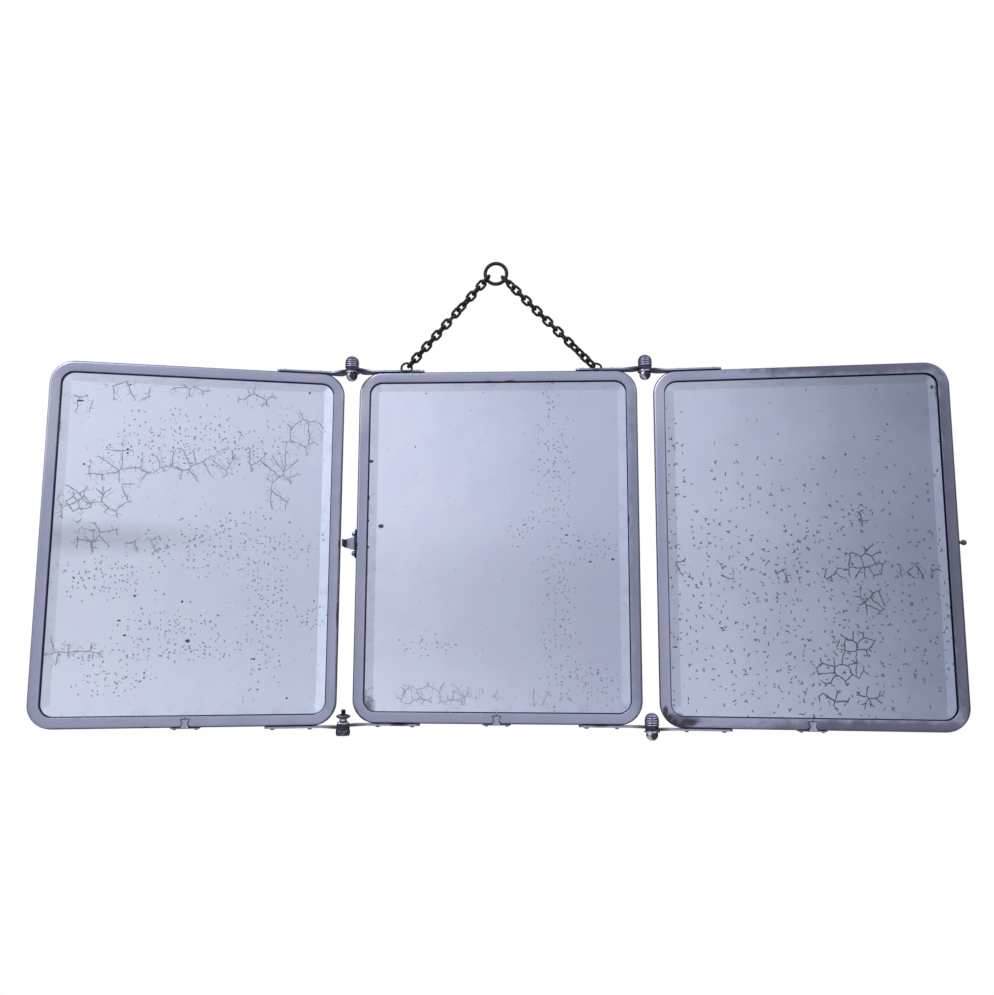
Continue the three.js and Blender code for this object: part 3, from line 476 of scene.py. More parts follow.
def strap_nickel():
    """Worn nickel on the straps, black with old grease round the hinge bolts and the anchor rings."""
    colours = bpy.context.scene.mirror_colours
    finish = Finish("strap_nickel")
    tint = finish.mix(finish.noise(11, 4, 0.65).rise(0.42, 0.6), colours.nickel, colours.nickel_worn)
    # Each greased place: its x and y, and the distances in millimetres where the grease begins and is thick.
    greased = [(*JOINTS[hinge]["pos_m"][:2], 17, 8) for _, hinge in WINGS.values()]
    for side in WINGS:
        low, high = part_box("anchor_ring_" + side)
        greased.append(((low.x + high.x) / 2, (low.y + high.y) / 2, 9, 4))

    def near(x, y, far, close):
        reach = finish.reach(finish.join(finish.x - x / MM, finish.y - y / MM))
        return (reach + finish.ragged(9, 5, 3)).rise(far, close)

    grease = largest(near(*row) for row in greased)
    tint = finish.mix(grease * 0.93, tint, colours.tarnish_and_shade)
    scuffs = finish.noise(2.2, 3, 0.7).rise(0.60, 0.74)
    tint = finish.mix(scuffs * 0.55, tint, colours.tarnish_and_shade)
    finish.set("Base Color", tint)
    finish.set("Metallic", 0.94 - grease * 0.2 - scuffs * 0.2)
    finish.set("Roughness", 0.28 + scuffs * 0.25 + grease * 0.18)
    finish.bump(finish.noise(1.4, 3) - scuffs * 0.6, 0.2, 0.3)
    return finish.material


def clip_nickel(leaf):
    """Nickel on a joint clip, with painted shade in a dark line round its waisted tongue's sides and top."""
    sizes, colours = bpy.context.scene.mirror_sizes, bpy.context.scene.mirror_colours
    finish = Finish("clip_nickel_" + leaf, leaf_place(leaf))
    half, foot = sizes.tongue_width / 2 / MM, -sizes.leaf_height / 2 / MM
    rise = (sizes.tongue_height - sizes.clip_thickness) / MM
    hollow = 1 - sizes.tongue_waist / sizes.tongue_width
    outline = half - ((finish.z - foot) * (math.pi / rise)).sine() * (half * hollow)
    # Painted shade: a dark line round the tongue's sides and along its top, on its front.
    edge = (abs(finish.x) - outline + finish.ragged(0.3, 1.1, 2)).rise(-0.85, -0.45)
    outline_shade = edge.larger(finish.z.rise(foot + rise - 0.35, foot + rise)) * finish.y.rise(-4.9, -5.0)
    worn = finish.noise(2.0, 3, 0.65).rise(0.58, 0.72)
    tint = finish.mix(finish.noise(6, 3).rise(0.42, 0.6), colours.nickel, colours.nickel_worn)
    finish.set("Base Color", finish.mix(outline_shade.larger(worn * 0.5) * 0.93, tint, colours.tarnish_and_shade))
    finish.set("Metallic", 0.95 - outline_shade * 0.2)
    finish.set("Roughness", 0.27 + worn * 0.2)
    finish.bump(finish.noise(1.2, 3) - outline_shade * 0.6, 0.2, 0.25)
    return finish.material


def latch_nickel():
    """The latch plate's nickel, with painted shade on its tongue's tip and on its root, and small worn spots.
    """
    colours = bpy.context.scene.mirror_colours
    finish = Finish("latch_nickel")
    low, high = (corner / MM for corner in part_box("latch_plate"))
    across = finish.x + finish.ragged(1.2, 2.4, 3)
    # Painted shade darkens the tongue's tip and the plate's root; the scattered spots are wear.
    tip = across.rise(low.x + 2.6, low.x + 1.8)
    root = across.rise(high.x - 1.8, high.x - 1.0)
    bare = largest((tip, root, finish.noise(1.7, 3, 0.7).rise(0.62, 0.72) * 0.6))
    tint = finish.mix(finish.noise(6, 3).rise(0.42, 0.6), colours.nickel, colours.nickel_worn)
    finish.set("Base Color", finish.mix(bare * 0.93, tint, colours.tarnish_and_shade))
    finish.set("Metallic", 0.95 - bare * 0.25)
    finish.set("Roughness", 0.27 + bare * 0.2)
    finish.bump(finish.noise(1.2, 3), 0.2, 0.25)
    return finish.material


def dome_nickel(seat, pitch, ribbed):
    """Nickel on a ribbed dome nut that stands on this seat, black in the grooves between its ribs."""
    colours = bpy.context.scene.mirror_colours
    finish = Finish("dome_nickel", Matrix.Translation((0, 0, seat)))
    height = finish.z + finish.ragged(1.6, 3.2, 2)
    groove = (height * (math.tau / (pitch / MM))).cosine().rise(0.05, 0.80)
    groove = groove * finish.z.rise(ribbed / MM + 0.6, ribbed / MM)
    worn = finish.noise(3.0, 3, 0.6).rise(0.56, 0.70)
    dark = groove.larger(worn * 0.6)
    finish.set("Base Color", finish.mix(dark * 0.93, colours.nickel, colours.tarnish_and_shade))
    finish.set("Metallic", 0.95 - dark * 0.25)
    finish.set("Roughness", 0.22 + dark * 0.22)
    finish.bump(finish.noise(1.1, 3) * 0.4 - groove, 0.3, 0.35)
    return finish.material


def polished_nickel():
    """Polished nickel with small dark patches where the plating has gone."""
    return worn_bright(Finish("polished_nickel"))


def ball_nickel(middle, radius):
    """Polished nickel for a ball, with a dark patch of painted shade on its lower right front that stands in
    for a dark reflection.
    """
    finish = Finish("ball_nickel", Matrix.Translation(middle))
    size = radius / MM
    # Painted shade: a dark patch on the ball's lower right front, in place of a dark reflection.
    off = finish.vector_math("SUBTRACT", finish.spot, (0.52 * size, -0.68 * size, -0.16 * size))
    rubbed = (finish.reach(off) + finish.ragged(0.48, 2.2, 3, 0.6) * size).rise(0.86 * size, 0.70 * size)
    return worn_bright(finish, rubbed)


def worn_bright(finish, rubbed=0.0):
    """Polished nickel with small dark patches, and one more, the painted shade that a ball's finish passes
    in.
    """
    colours = bpy.context.scene.mirror_colours
    gone = finish.noise(3.6, 4, 0.7).rise(0.54, 0.66).larger(rubbed)
    finish.set("Base Color", finish.mix(gone * 0.97, colours.bright, colours.tarnish_and_shade))
    finish.set("Metallic", 1.0 - gone * 0.25)
    finish.set("Roughness", 0.09 + gone * 0.25)
    finish.bump(finish.noise(1.6, 2) - gone * 0.7, 0.12, 0.2)
    return finish.material


def dark_steel():
    """Dark steel with fine scratches and specks of rust."""
    colours = bpy.context.scene.mirror_colours
    finish = Finish("dark_steel")
    worn = finish.noise(2.6, 4, 0.65).rise(0.42, 0.60)
    rust = finish.noise(1.8, 4, 0.7).rise(0.60, 0.70)
    tint = finish.mix(worn * 0.8, colours.steel, colours.tarnish_and_shade)
    finish.set("Base Color", finish.mix(rust * 0.5, tint, colours.rust))
    finish.set("Metallic", 0.95 - rust * 0.5)
    finish.set("Roughness", 0.24 + worn * 0.16 + rust * 0.2)
    finish.bump(finish.noise(0.9, 3), 0.3, 0.25)
    return finish.material


def black_wire():
    """Blackened wire, rubbed a little brighter in places."""
    colours = bpy.context.scene.mirror_colours
    finish = Finish("blackened_wire")
    rubbed = finish.noise(2.4, 3, 0.6).rise(0.56, 0.72)
    finish.set("Base Color", finish.mix(rubbed * 0.30, colours.wire, colours.steel))
    finish.set("Metallic", 0.55 + rubbed * 0.3)
    finish.set("Roughness", 0.42 - rubbed * 0.12)
    finish.bump(finish.noise(0.8, 3), 0.25, 0.2)
    return finish.material


def backing():
    """Old board with a fibrous surface and brown stains."""
    colours = bpy.context.scene.mirror_colours
    finish = Finish("old_board")
    fibres = finish.noise(1.6, 4, 0.7, stretch=(0.35, 1, 1))
    stain = finish.noise(48, 4, 0.6).rise(0.44, 0.66)
    finish.set("Base Color", finish.mix(stain * 0.7 + fibres * 0.25, colours.board, colours.board_dark))
    finish.set("Roughness", 0.78 + fibres * 0.15)
    finish.bump(fibres, 0.3, 0.35)
    return finish.material


def cracks(finish, leaf, flat):
    """Where a leaf's silvering has cracked or crazed."""
    bent = finish.warped(finish.warped(flat, 7, 2.0), 2.2, 0.4)
    ragged = finish.ragged(0.9, 7, 2)

    # Cracks: walls of wide cells, some of them missing, with twigs from finer cells beside them.
    cracked = finish.patches(CRACKS[leaf], 0.8, ragged)
    trunk = finish.off_wall(15, bent)
    grown = (cracked * 0.5 + finish.noise(11, 2)).rise(0.60, 0.72)
    beside = (trunk + finish.ragged(0.40, 4, 1)).rise(0.30, 0.22)
    twigs = finish.off_wall(7.6, bent).rise(0.046, 0.016) * beside
    crackle = trunk.rise(0.038, 0.018).larger(twigs * 0.68) * grown * cracked.rise(0.08, 0.22)

    # Crazing: cell walls, some of them missing.
    crazed = finish.patches(CRAZING[leaf], 0.8, ragged)
    wall = finish.off_wall(9.0, bent).rise(0.068, 0.034)
    wall = wall * (crazed * 1.3 + finish.noise(5, 2) * 1.1).rise(0.72, 0.90)
    return crackle.larger(wall * crazed.rise(0.05, 0.2))


def scratches(finish, leaf, flat):
    """Short scratches: a dash or a hook in some of the cells, more of them where the leaf is scratched."""
    crowded = finish.patches(SCRATCHED[leaf], 0.9, finish.ragged(0.8, 20, 2))
    layers = []
    for size, reach, width in SCRATCH_SIZES[leaf]:
        place = finish.warped(finish.vector_math("ADD", flat, (size * 7, 0, 0)), 1.6, 0.55)
        cell = finish.cells(size, place)
        dx, dz, _ = finish.split(finish.vector_math("SUBTRACT", place, cell.outputs["Position"]))
        chance, turn, hook = finish.split(cell.outputs["Color"])

        def arm(angle, end):
            along = dx * angle.cosine() + dz * angle.sine() - end
            off = abs(dz * angle.cosine() - dx * angle.sine())
            return abs(along).rise(reach + 0.25, reach - 0.1) * off.rise(width + 0.16, width - 0.12)

        angle = turn * math.tau
        dash = arm(angle, 0.0).larger(arm(angle + 1.9, reach * 0.7) * hook.rise(0.55, 0.6))
        layers.append(dash * (crowded * SCRATCH_CHANCE[leaf] - chance + 0.06).rise(0.0, 0.12))
    return largest(layers)


def silvered_glass(leaf):
    """A leaf's old silvering, with a painted reflection that darkens it towards one side, with crackle, short
    scratches and lifted spots.
    """
    colours = bpy.context.scene.mirror_colours
    finish = Finish("silvering_" + leaf, leaf_place(leaf))
    flat = finish.join(finish.x, finish.z)
    # Painted reflection: each leaf runs from its light to its dark silver colour across its width, on top of
    # the silvering's own tint.
    across = (finish.x + finish.z * 0.12 + finish.ragged(60, 60, 2, 0.5)).rise(-118, 118)
    light = getattr(colours, "silver_" + leaf + "_light")
    dark = getattr(colours, "silver_" + leaf + "_dark")
    tint = finish.mix(across, light, dark)
    dulled = finish.patches(DULLED[leaf], 0.9, finish.ragged(0.5, 30, 2))
    tint = finish.mix(dulled * DULLING[leaf], tint, colours.bare_silver)
    cast = finish.noise(24, 2).rise(0.42, 0.60)
    tint = finish.mix(cast * 0.8, tint, finish.vector_math("MULTIPLY", tint, (0.995, 0.965, 0.99)))

    crackle, scratched = cracks(finish, leaf, flat), scratches(finish, leaf, flat)
    lifted = finish.patches(SPOTS[leaf], 0.35, finish.ragged(0.7, 1.2, 2))
    edge = abs(finish.x).rise(100, 113).larger(abs(finish.z).rise(131, 143))
    foxed = edge * finish.noise(9, 4, 0.65).rise(0.46, 0.70)
    stained = finish.patches(STAINS[leaf], 0.9, finish.ragged(0.9, 3, 3))
    for mask, covered in (
        (foxed * 0.16, colours.bare_silver),
        (crackle * CRACK_DEPTH[leaf], colours.bare_silver),
        (scratched * SCRATCH_DEPTH[leaf], colours.bare_silver),
        (stained * 0.75, colours.rust),
        (lifted * 0.95, colours.tarnish_and_shade),
    ):
        tint = finish.mix(mask, tint, covered)
    lines = crackle.larger(scratched)
    bare = lifted.larger(stained)
    finish.set("Base Color", tint)
    finish.set("Metallic", 1.0 - lines * 0.12 - bare * 0.4)
    finish.set("Roughness", 0.035 + lines.larger(bare) * 0.30 + foxed * 0.06)
    return finish.material


# --------------------------------------------------------------------------------------------------
# Modelling by hand


def deselect():
    """Leaves edit mode, and selects nothing."""
    if bpy.context.object and bpy.context.object.mode != "OBJECT":
        done()
    bpy.ops.object.select_all(action="DESELECT")


def activate(piece):
    """Selects this piece alone, in object mode."""
    deselect()
    piece.select_set(True)
    bpy.context.view_layer.objects.active = piece


def start(primitive, name, scale=(1, 1, 1), **settings):
    """Adds a primitive, and leaves it selected with its place and size in its mesh."""
    deselect()
    primitive(**settings)
    piece = bpy.context.object
    piece.name = name
    piece.scale = scale
    bpy.ops.object.transform_apply(location=True, rotation=True, scale=True)
    return piece


def choose(piece, kind, test):
    """Selects the faces, edges or points that pass a test, and stays in edit mode."""
    activate(piece)
    bpy.ops.object.mode_set(mode="EDIT")
    bpy.ops.mesh.select_mode(type=kind)
    bpy.ops.mesh.select_all(action="DESELECT")
    bpy.ops.object.mode_set(mode="OBJECT")
    parts = {"FACE": piece.data.polygons, "EDGE": piece.data.edges, "VERT": piece.data.vertices}[kind]
    for part in parts:
        part.select = test(part)
    bpy.ops.object.mode_set(mode="EDIT")


def choose_all(piece, kind):
    """Selects all of a piece, and stays in edit mode."""
    activate(piece)
    bpy.ops.object.mode_set(mode="EDIT")
    bpy.ops.mesh.select_mode(type=kind)
    bpy.ops.mesh.select_all(action="SELECT")


def done():
    """Leaves edit mode."""
    bpy.ops.object.mode_set(mode="OBJECT")


def extrude(x=0.0, y=0.0, z=0.0):
    """Extrudes what is selected by this much."""
    bpy.ops.mesh.extrude_region_move(TRANSFORM_OT_translate={"value": (x, y, z)})


def modify(piece, kind, **settings):
    """Adds a modifier with these settings and applies it."""
    activate(piece)
    bpy.ops.object.modifier_add(type=kind)
    modifier = piece.modifiers[-1]
    for key, value in settings.items():
        setattr(modifier, key, value)
    bpy.ops.object.modifier_apply(modifier=modifier.name)


def combine(piece, tool, operation):
    """Joins a second shape to a piece, or cuts it out, and removes the second shape."""
    modify(piece, "BOOLEAN", operation=operation, solver="EXACT", object=tool)
    bpy.data.objects.remove(tool)


def soften(piece, width, angle):
    """Rounds the edges sharper than an angle, and shades the piece smooth between those that stay."""
    modify(piece, "BEVEL", width=width, segments=2, limit_method="ANGLE", angle_limit=math.radians(angle))
    smooth(piece)


def smooth(piece, angle=38):
    """Shades a piece smooth across the edges that are blunter than an angle."""
    activate(piece)
    bpy.ops.object.shade_smooth_by_angle(angle=math.radians(angle))


def face_outwards(piece):
    """Merges a piece's doubled points, and turns its faces outwards."""
    choose_all(piece, "VERT")
    bpy.ops.mesh.remove_doubles(threshold=0.002 * MM)
    bpy.ops.mesh.normals_make_consistent(inside=False)
    done()


def block(name, low, high):
    """A box between two corners."""
    low, high = Vector(low), Vector(high)
    size, middle = tuple(high - low), tuple((low + high) / 2)
    return start(bpy.ops.mesh.primitive_cube_add, name, scale=size, size=1, location=middle)


def rod(name, radius, depth, sides, place, **turn):
    """A round rod about a place."""
    piece = start(
        bpy.ops.mesh.primitive_cylinder_add, name, vertices=sides, radius=radius, depth=depth,
        location=(0, 0, 0), **turn,
    )
    piece.data.transform(Matrix.Translation(place))
    return piece


def strip(name, width, height, place, **turn):
    """A flat strip about a place."""
    piece = start(
        bpy.ops.mesh.primitive_plane_add, name, scale=(width, height, 1), size=1, location=(0, 0, 0), **turn
    )
    piece.data.transform(Matrix.Translation(place))
    return piece


def rounded_panel(name, width, height, radius, steps, place, **turn):
    """A flat panel with round corners about a place, left in face mode with its face selected."""
    panel = strip(name, width, height, place, **turn)
    choose_all(panel, "VERT")
    bpy.ops.mesh.bevel(offset=radius, segments=steps, affect="VERTICES")
    bpy.ops.mesh.select_mode(type="FACE")
    bpy.ops.mesh.select_all(action="SELECT")
    return panel


def leaf_panel(name, inside, sizes, y):
    """A rounded panel that faces the viewer, this far inside a leaf's outline."""
    return rounded_panel(
        name, sizes.leaf_width - 2 * inside, sizes.leaf_height - 2 * inside, sizes.corner_radius - inside,
        sizes.corner_steps, (0, y, 0), rotation=(math.pi / 2, 0, 0),
    )


def step_in(steps):
    """Insets the selected face through (inward, forward) steps."""
    for inward, forward in steps:
        bpy.ops.mesh.inset(thickness=inward, depth=forward, use_even_offset=True)


def quarter_turn(radius, steps):
    """(inward, forward) steps round a quarter circle, from the side of a piece to its face."""
    marks = [math.pi / 2 * order / steps for order in range(steps + 1)]
    points = [(radius * (1 - math.cos(mark)), radius * math.sin(mark)) for mark in marks]
    return [(b[0] - a[0], b[1] - a[1]) for a, b in zip(points, points[1:])]


def turned(name, profile, sides):
    """Stacks rings up a profile of (radius, height) points, and closes both ends at the middle."""
    (low, foot), *rest = profile
    radius, level = low, foot
    piece = start(
        bpy.ops.mesh.primitive_circle_add, name, vertices=sides, radius=radius, fill_type="NOTHING",
        location=(0, 0, 0),
    )
    piece.data.transform(Matrix.Translation((0, 0, level)))
    choose_all(piece, "EDGE")
    for next_radius, next_level in rest:
        extrude(z=next_level - level)
        share = next_radius / radius
        bpy.ops.transform.resize(value=(share, share, 1), center_override=(0, 0, next_level))
        radius, level = next_radius, next_level
    extrude()
    bpy.ops.mesh.merge(type="CENTER")

    def at_foot(point):
        return abs(point.co.z - foot) < TOUCHING and abs(point.co.xy.length - low) < TOUCHING

    choose(piece, "VERT", at_foot)
    bpy.ops.mesh.select_mode(type="EDGE")
    extrude()
    bpy.ops.mesh.merge(type="CENTER")
    face_outwards(piece)
    return piece


def arc(radius, centre, first, last, steps):
    """Points of an arc about (0, centre), as (radius, height), between two elevations in degrees."""
    turns = [math.radians(first + (last - first) * order / steps) for order in range(steps + 1)]
    return [(radius * math.cos(turn), centre + radius * math.sin(turn)) for turn in turns]


def profile_at(level, rows):
    """Profile points given as (radius, height) in millimetres, stood on a level."""
    return [(radius * MM, level + height * MM) for radius, height in rows]


def wire_ring(name, radius, wire, sides, steps):
    """A ring of round wire that faces the viewer, with a seam at its right where the wire's ends meet."""
    ring = start(
        bpy.ops.mesh.primitive_torus_add, name, major_radius=radius, minor_radius=wire,
        major_segments=steps, minor_segments=sides, rotation=(math.pi / 2, 0, 0),
    )

    def on_seam(point):
        return point.co.x > 0 and abs(point.co.z) < 0.01 * MM

    choose(ring, "EDGE", lambda edge: all(on_seam(ring.data.vertices[corner]) for corner in edge.vertices))
    bpy.ops.mesh.bevel(offset=0.18 * MM, segments=2, affect="EDGES")
    done()
    choose(ring, "VERT", on_seam)
    bpy.ops.transform.resize(value=(0.78, 0.78, 1), center_override=(radius, 0, 0))
    done()
    smooth(ring, 60)
    return ring


def copied(pattern, name, place):
    """A copy of a pattern piece with its own mesh, set in its place."""
    activate(pattern)
    bpy.ops.object.duplicate(linked=False)
    twin = bpy.context.object
    twin.name = name
    twin.data.transform(place)
    twin.data.update()
    return twin


def hand_over(piece, body, material, node):
    """Gives a finished piece its material, and sets it to move with its body in place of its solid."""
    dress(piece, material)
    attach(piece, body)
    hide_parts(node)


def dress(piece, material):
    """Gives a piece this material alone."""
    piece.data.materials.clear()
    piece.data.materials.append(material)


def shared(name, make):
    """The material of this name, made on first use."""
    return bpy.data.materials.get(name) or make()


def leaf_place(leaf):
    """Where a leaf's middle stands, and how it is turned, at rest."""
    low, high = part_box("centre_frame")
    centre = (low + high) / 2
    if leaf == "centre":
        return Matrix.Translation(centre)
    joint = JOINTS[WINGS[leaf][1]]
    axis_place = Vector(joint["pos_m"])
    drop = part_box(leaf + "_frame")[1].z - high.z
    flat = Vector((2 * axis_place.x - centre.x, centre.y, centre.z + drop))
    turn = Matrix.Rotation(math.radians(-joint["range_deg"][0]), 4, Vector(joint["axis"]))
    swing = Matrix.Translation(axis_place) @ turn @ Matrix.Translation(-axis_place)
    return swing @ Matrix.Translation(flat)


def on_node(node, end):
    """The middle of a node in plan, at its top (1) or its bottom (-1)."""
    low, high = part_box(node)
    return Vector(((low.x + high.x) / 2, (low.y + high.y) / 2, high.z if end > 0 else low.z))


# --------------------------------------------------------------------------------------------------
# Pieces


class MirrorPiece:
    """What the operators of the mirror's pieces share."""

    bl_options = {"REGISTER", "UNDO"}

    @property
    def sizes(self):
        return bpy.context.scene.mirror_sizes


class MIRROR_OT_frames(MirrorPiece, bpy.types.Operator):
    """Rolled channel frames with round corners, sawn through at the bottom"""

    bl_idname = "mirror.frames"
    bl_label = "Channel frames"

    # How the lips bulge and fall: (share of the lip's width, rise in millimetres), from the side inwards.
    FRONT_LIP = ((0.45, 0.02), (0.42, -0.10), (0.08, -0.22), (0.05, -0.45))
    BACK_LIP = ((0.9, 0), (0.1, -0.25))
    # The notches that the anchor rings' wires drop into: front and back, room under the wire, and how far
    # they end inside the ring's width.
    NOTCH_FRONT = -3.9 * MM
    NOTCH_BACK = -0.1 * MM
    NOTCH_ROOM = 1.1 * MM
    NOTCH_INSET = 1.2 * MM

    def execute(self, context):
        pattern = self.channel()
        for leaf, body in BODIES.items():
            channel = copied(pattern, "channel_" + leaf, Matrix())
            if leaf == "centre":
                self.notch(channel)
            channel.data.transform(leaf_place(leaf))
            smooth(channel)
            hand_over(channel, body, nickel_frame(leaf), leaf + "_frame")
        bpy.data.objects.remove(pattern)
        return {"FINISHED"}

    def channel(self):
        """A channel frame in its leaf's own place, with the saw cut where its ends meet."""
        sizes = self.sizes
        rounding = sizes.channel_rounding
        side = sizes.channel_depth / 2 - rounding
        wide = sizes.leaf_width * sizes.leaf_height / 2
        channel = leaf_panel("channel", 0, sizes, side)
        extrude(y=-2 * side)
        self.lip(sizes.front_lip, self.FRONT_LIP, 6)
        choose(channel, "FACE", lambda face: face.normal.y > 0.99 and face.area > wide)
        self.lip(sizes.back_lip, self.BACK_LIP, 5)
        choose(channel, "FACE", lambda face: abs(face.normal.y) > 0.99 and face.area > wide)
        bpy.ops.mesh.delete(type="FACE")
        done()
        modify(channel, "SOLIDIFY", thickness=sizes.channel_wall, offset=-1, use_even_offset=True)
        half, deep, reach = sizes.saw_cut / 2, sizes.channel_depth, sizes.front_lip * 2
        foot = -sizes.leaf_height / 2
        saw = block("saw", (-half, -deep, foot - reach), (half, deep, foot + reach))
        combine(channel, saw, "DIFFERENCE")
        return channel

    def lip(self, width, profile, steps):
        """Rounds the selected face's edge, and steps in over the lip."""
        rounding = self.sizes.channel_rounding
        step_in(quarter_turn(rounding, steps))
        step_in([((width - rounding) * share, rise * MM) for share, rise in profile])

    def notch(self, channel):
        """Cuts the notches in the top of the centre leaf's channel."""
        centre = leaf_place("centre").to_translation()
        top = self.sizes.leaf_height / 2
        deep = self.sizes.anchor_wire + self.NOTCH_ROOM
        for side in WINGS:
            low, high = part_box("anchor_ring_" + side)
            x = (low.x + high.x) / 2 - centre.x
            half = (high.x - low.x) / 2 - self.NOTCH_INSET
            cut = block(
                "notch", (x - half, self.NOTCH_FRONT, top - deep), (x + half, self.NOTCH_BACK, top + deep)
            )
            combine(channel, cut, "DIFFERENCE")


class MIRROR_OT_glasses(MirrorPiece, bpy.types.Operator):
    """Plate glass with a ground bevel, silvered behind, and the boards behind it"""

    bl_idname = "mirror.glasses"
    bl_label = "Bevelled glass and boards"

    # The edge where the bevel starts is dulled: how wide it is, and how far it rises.
    ARRIS_WIDTH = 0.25 * MM
    ARRIS_RISE = 0.14 * MM

    def execute(self, context):
        sizes = self.sizes
        back = -sizes.channel_depth / 2 + sizes.channel_wall + sizes.glass_gap + sizes.glass_thickness
        pattern = leaf_panel("glass", sizes.front_lip - sizes.glass_cover, sizes, back)
        extrude(y=sizes.bevel_drop - sizes.glass_thickness)
        bevel = (sizes.bevel_width - self.ARRIS_WIDTH, sizes.bevel_drop - self.ARRIS_RISE)
        step_in([(self.ARRIS_WIDTH, self.ARRIS_RISE), bevel])
        done()
        face_outwards(pattern)
        smooth(pattern, 3)
        for leaf, body in BODIES.items():
            glass = copied(pattern, "glass_" + leaf, leaf_place(leaf))
            hand_over(glass, body, silvered_glass(leaf), leaf + "_glass")
            dress(frame["nodes"][leaf + "_back_board"], shared("old_board", backing))
        bpy.data.objects.remove(pattern)
        return {"FINISHED"}


class MIRROR_OT_clips(MirrorPiece, bpy.types.Operator):
    """Joint clips whose waisted tongue folds up over the channel's saw cut"""

    bl_idname = "mirror.clips"
    bl_label = "Joint clips"

    # The tongue's bends, as shares of the metal's thickness forward and up, and the rows that climb the lip.
    BENDS = ((-1.1, 0.25), (-0.4, 0.9))
    ROWS = 8

    def execute(self, context):
        pattern = self.clip()
        for leaf, body in BODIES.items():
            clip = copied(pattern, "clip_" + leaf, leaf_place(leaf))
            hand_over(clip, body, clip_nickel(leaf), leaf + "_joint_clip")
        bpy.data.objects.remove(pattern)
        return {"FINISHED"}

    def clip(self):
        """A clip in its leaf's own place: a plate under the channel, and the tongue up its front lip."""
        sizes = self.sizes
        thick = sizes.clip_thickness
        under = -sizes.leaf_height / 2 - sizes.strap_stand
        front = -sizes.channel_depth / 2 - sizes.strap_stand
        place = (0, 0, under - thick)
        plate = rounded_panel("clip", sizes.clip_length, sizes.clip_width, sizes.clip_width / 3, 6, place)
        extrude(z=thick)
        done()
        # The tongue: a strip that runs forward, then up the lip in rows whose widths draw in to the waist.
        place = (0, (front + thick) / 2, under - thick / 2)
        tongue = strip("tongue", sizes.tongue_width, -front - thick, place)

        def at_front(edge):
            return all(tongue.data.vertices[corner].co.y < front / 2 for corner in edge.vertices)

        choose(tongue, "EDGE", at_front)
        for forward, up in self.BENDS:
            extrude(y=thick * forward, z=thick * up)
        waist = sizes.tongue_waist / sizes.tongue_width
        rise = (sizes.tongue_height - thick) / self.ROWS
        last = 1.0
        for row in range(1, self.ROWS + 1):
            bow = 1 - (1 - waist) * math.sin(math.pi * row / self.ROWS) ** 1.2
            extrude(z=rise)
            bpy.ops.transform.resize(value=(bow / last, 1, 1), center_override=(0, front, 0))
            last = bow
        extrude(z=thick * 0.8)
        bpy.ops.transform.resize(value=(0.72, 1, 1), center_override=(0, front, 0))
        done()
        modify(tongue, "SOLIDIFY", thickness=thick, offset=0, use_even_offset=True)
        face_outwards(tongue)
        face_outwards(plate)
        combine(plate, tongue, "UNION")
        soften(plate, 0.15 * MM, 50)
        return plate


class MIRROR_OT_rivets(MirrorPiece, bpy.types.Operator):
    """Domed rivets of the straps and clips"""

    bl_idname = "mirror.rivets"
    bl_label = "Rivets"

    SHANK_LENGTH = 3.2 * MM

    def execute(self, context):
        sizes = self.sizes
        steel = shared("dark_steel", dark_steel)
        strap_rivet = self.rivet("strap_rivet", sizes.rivet_radius, sizes.rivet_height)
        clip_rivet = self.rivet("clip_rivet", sizes.clip_rivet_radius, sizes.clip_rivet_height)
        flip = Matrix.Rotation(math.pi, 4, "X")
        for side in WINGS:
            for end, level in ENDS.items():
                for role in ("hinge", "inner"):
                    for owner, body in (("centre_" + side, "centre"), (side, BODIES[side])):
                        node = f"{owner}_{end}_rivet_{role}"
                        place = Matrix.Translation(on_node(node, level)) @ (Matrix() if level > 0 else flip)
                        head = copied(strap_rivet, f"rivet_{owner}_{end}_{role}", place)
                        hand_over(head, body, steel, node)
        for leaf, body in BODIES.items():
            for side in WINGS:
                node = f"{leaf}_clip_rivet_{side}"
                place = Matrix.Translation(on_node(node, -1)) @ flip
                head = copied(clip_rivet, f"rivet_{leaf}_clip_{side}", place)
                hand_over(head, body, steel, node)
        bpy.data.objects.remove(strap_rivet)
        bpy.data.objects.remove(clip_rivet)
        return {"FINISHED"}

    def rivet(self, name, radius, height):
        """A rivet whose domed head ends at the origin, with its shank below it."""
        cap = (radius**2 + height**2) / (2 * height)
        rim = math.degrees(math.asin((cap - height) / cap))
        shank = self.sizes.shank_radius
        dome = arc(cap, -cap, rim, 88, 6)
        foot = -height - self.SHANK_LENGTH
        head = turned(name, [(shank, foot), (shank, -height), (radius * 0.94, -height), *dome], 20)
        smooth(head)
        return head


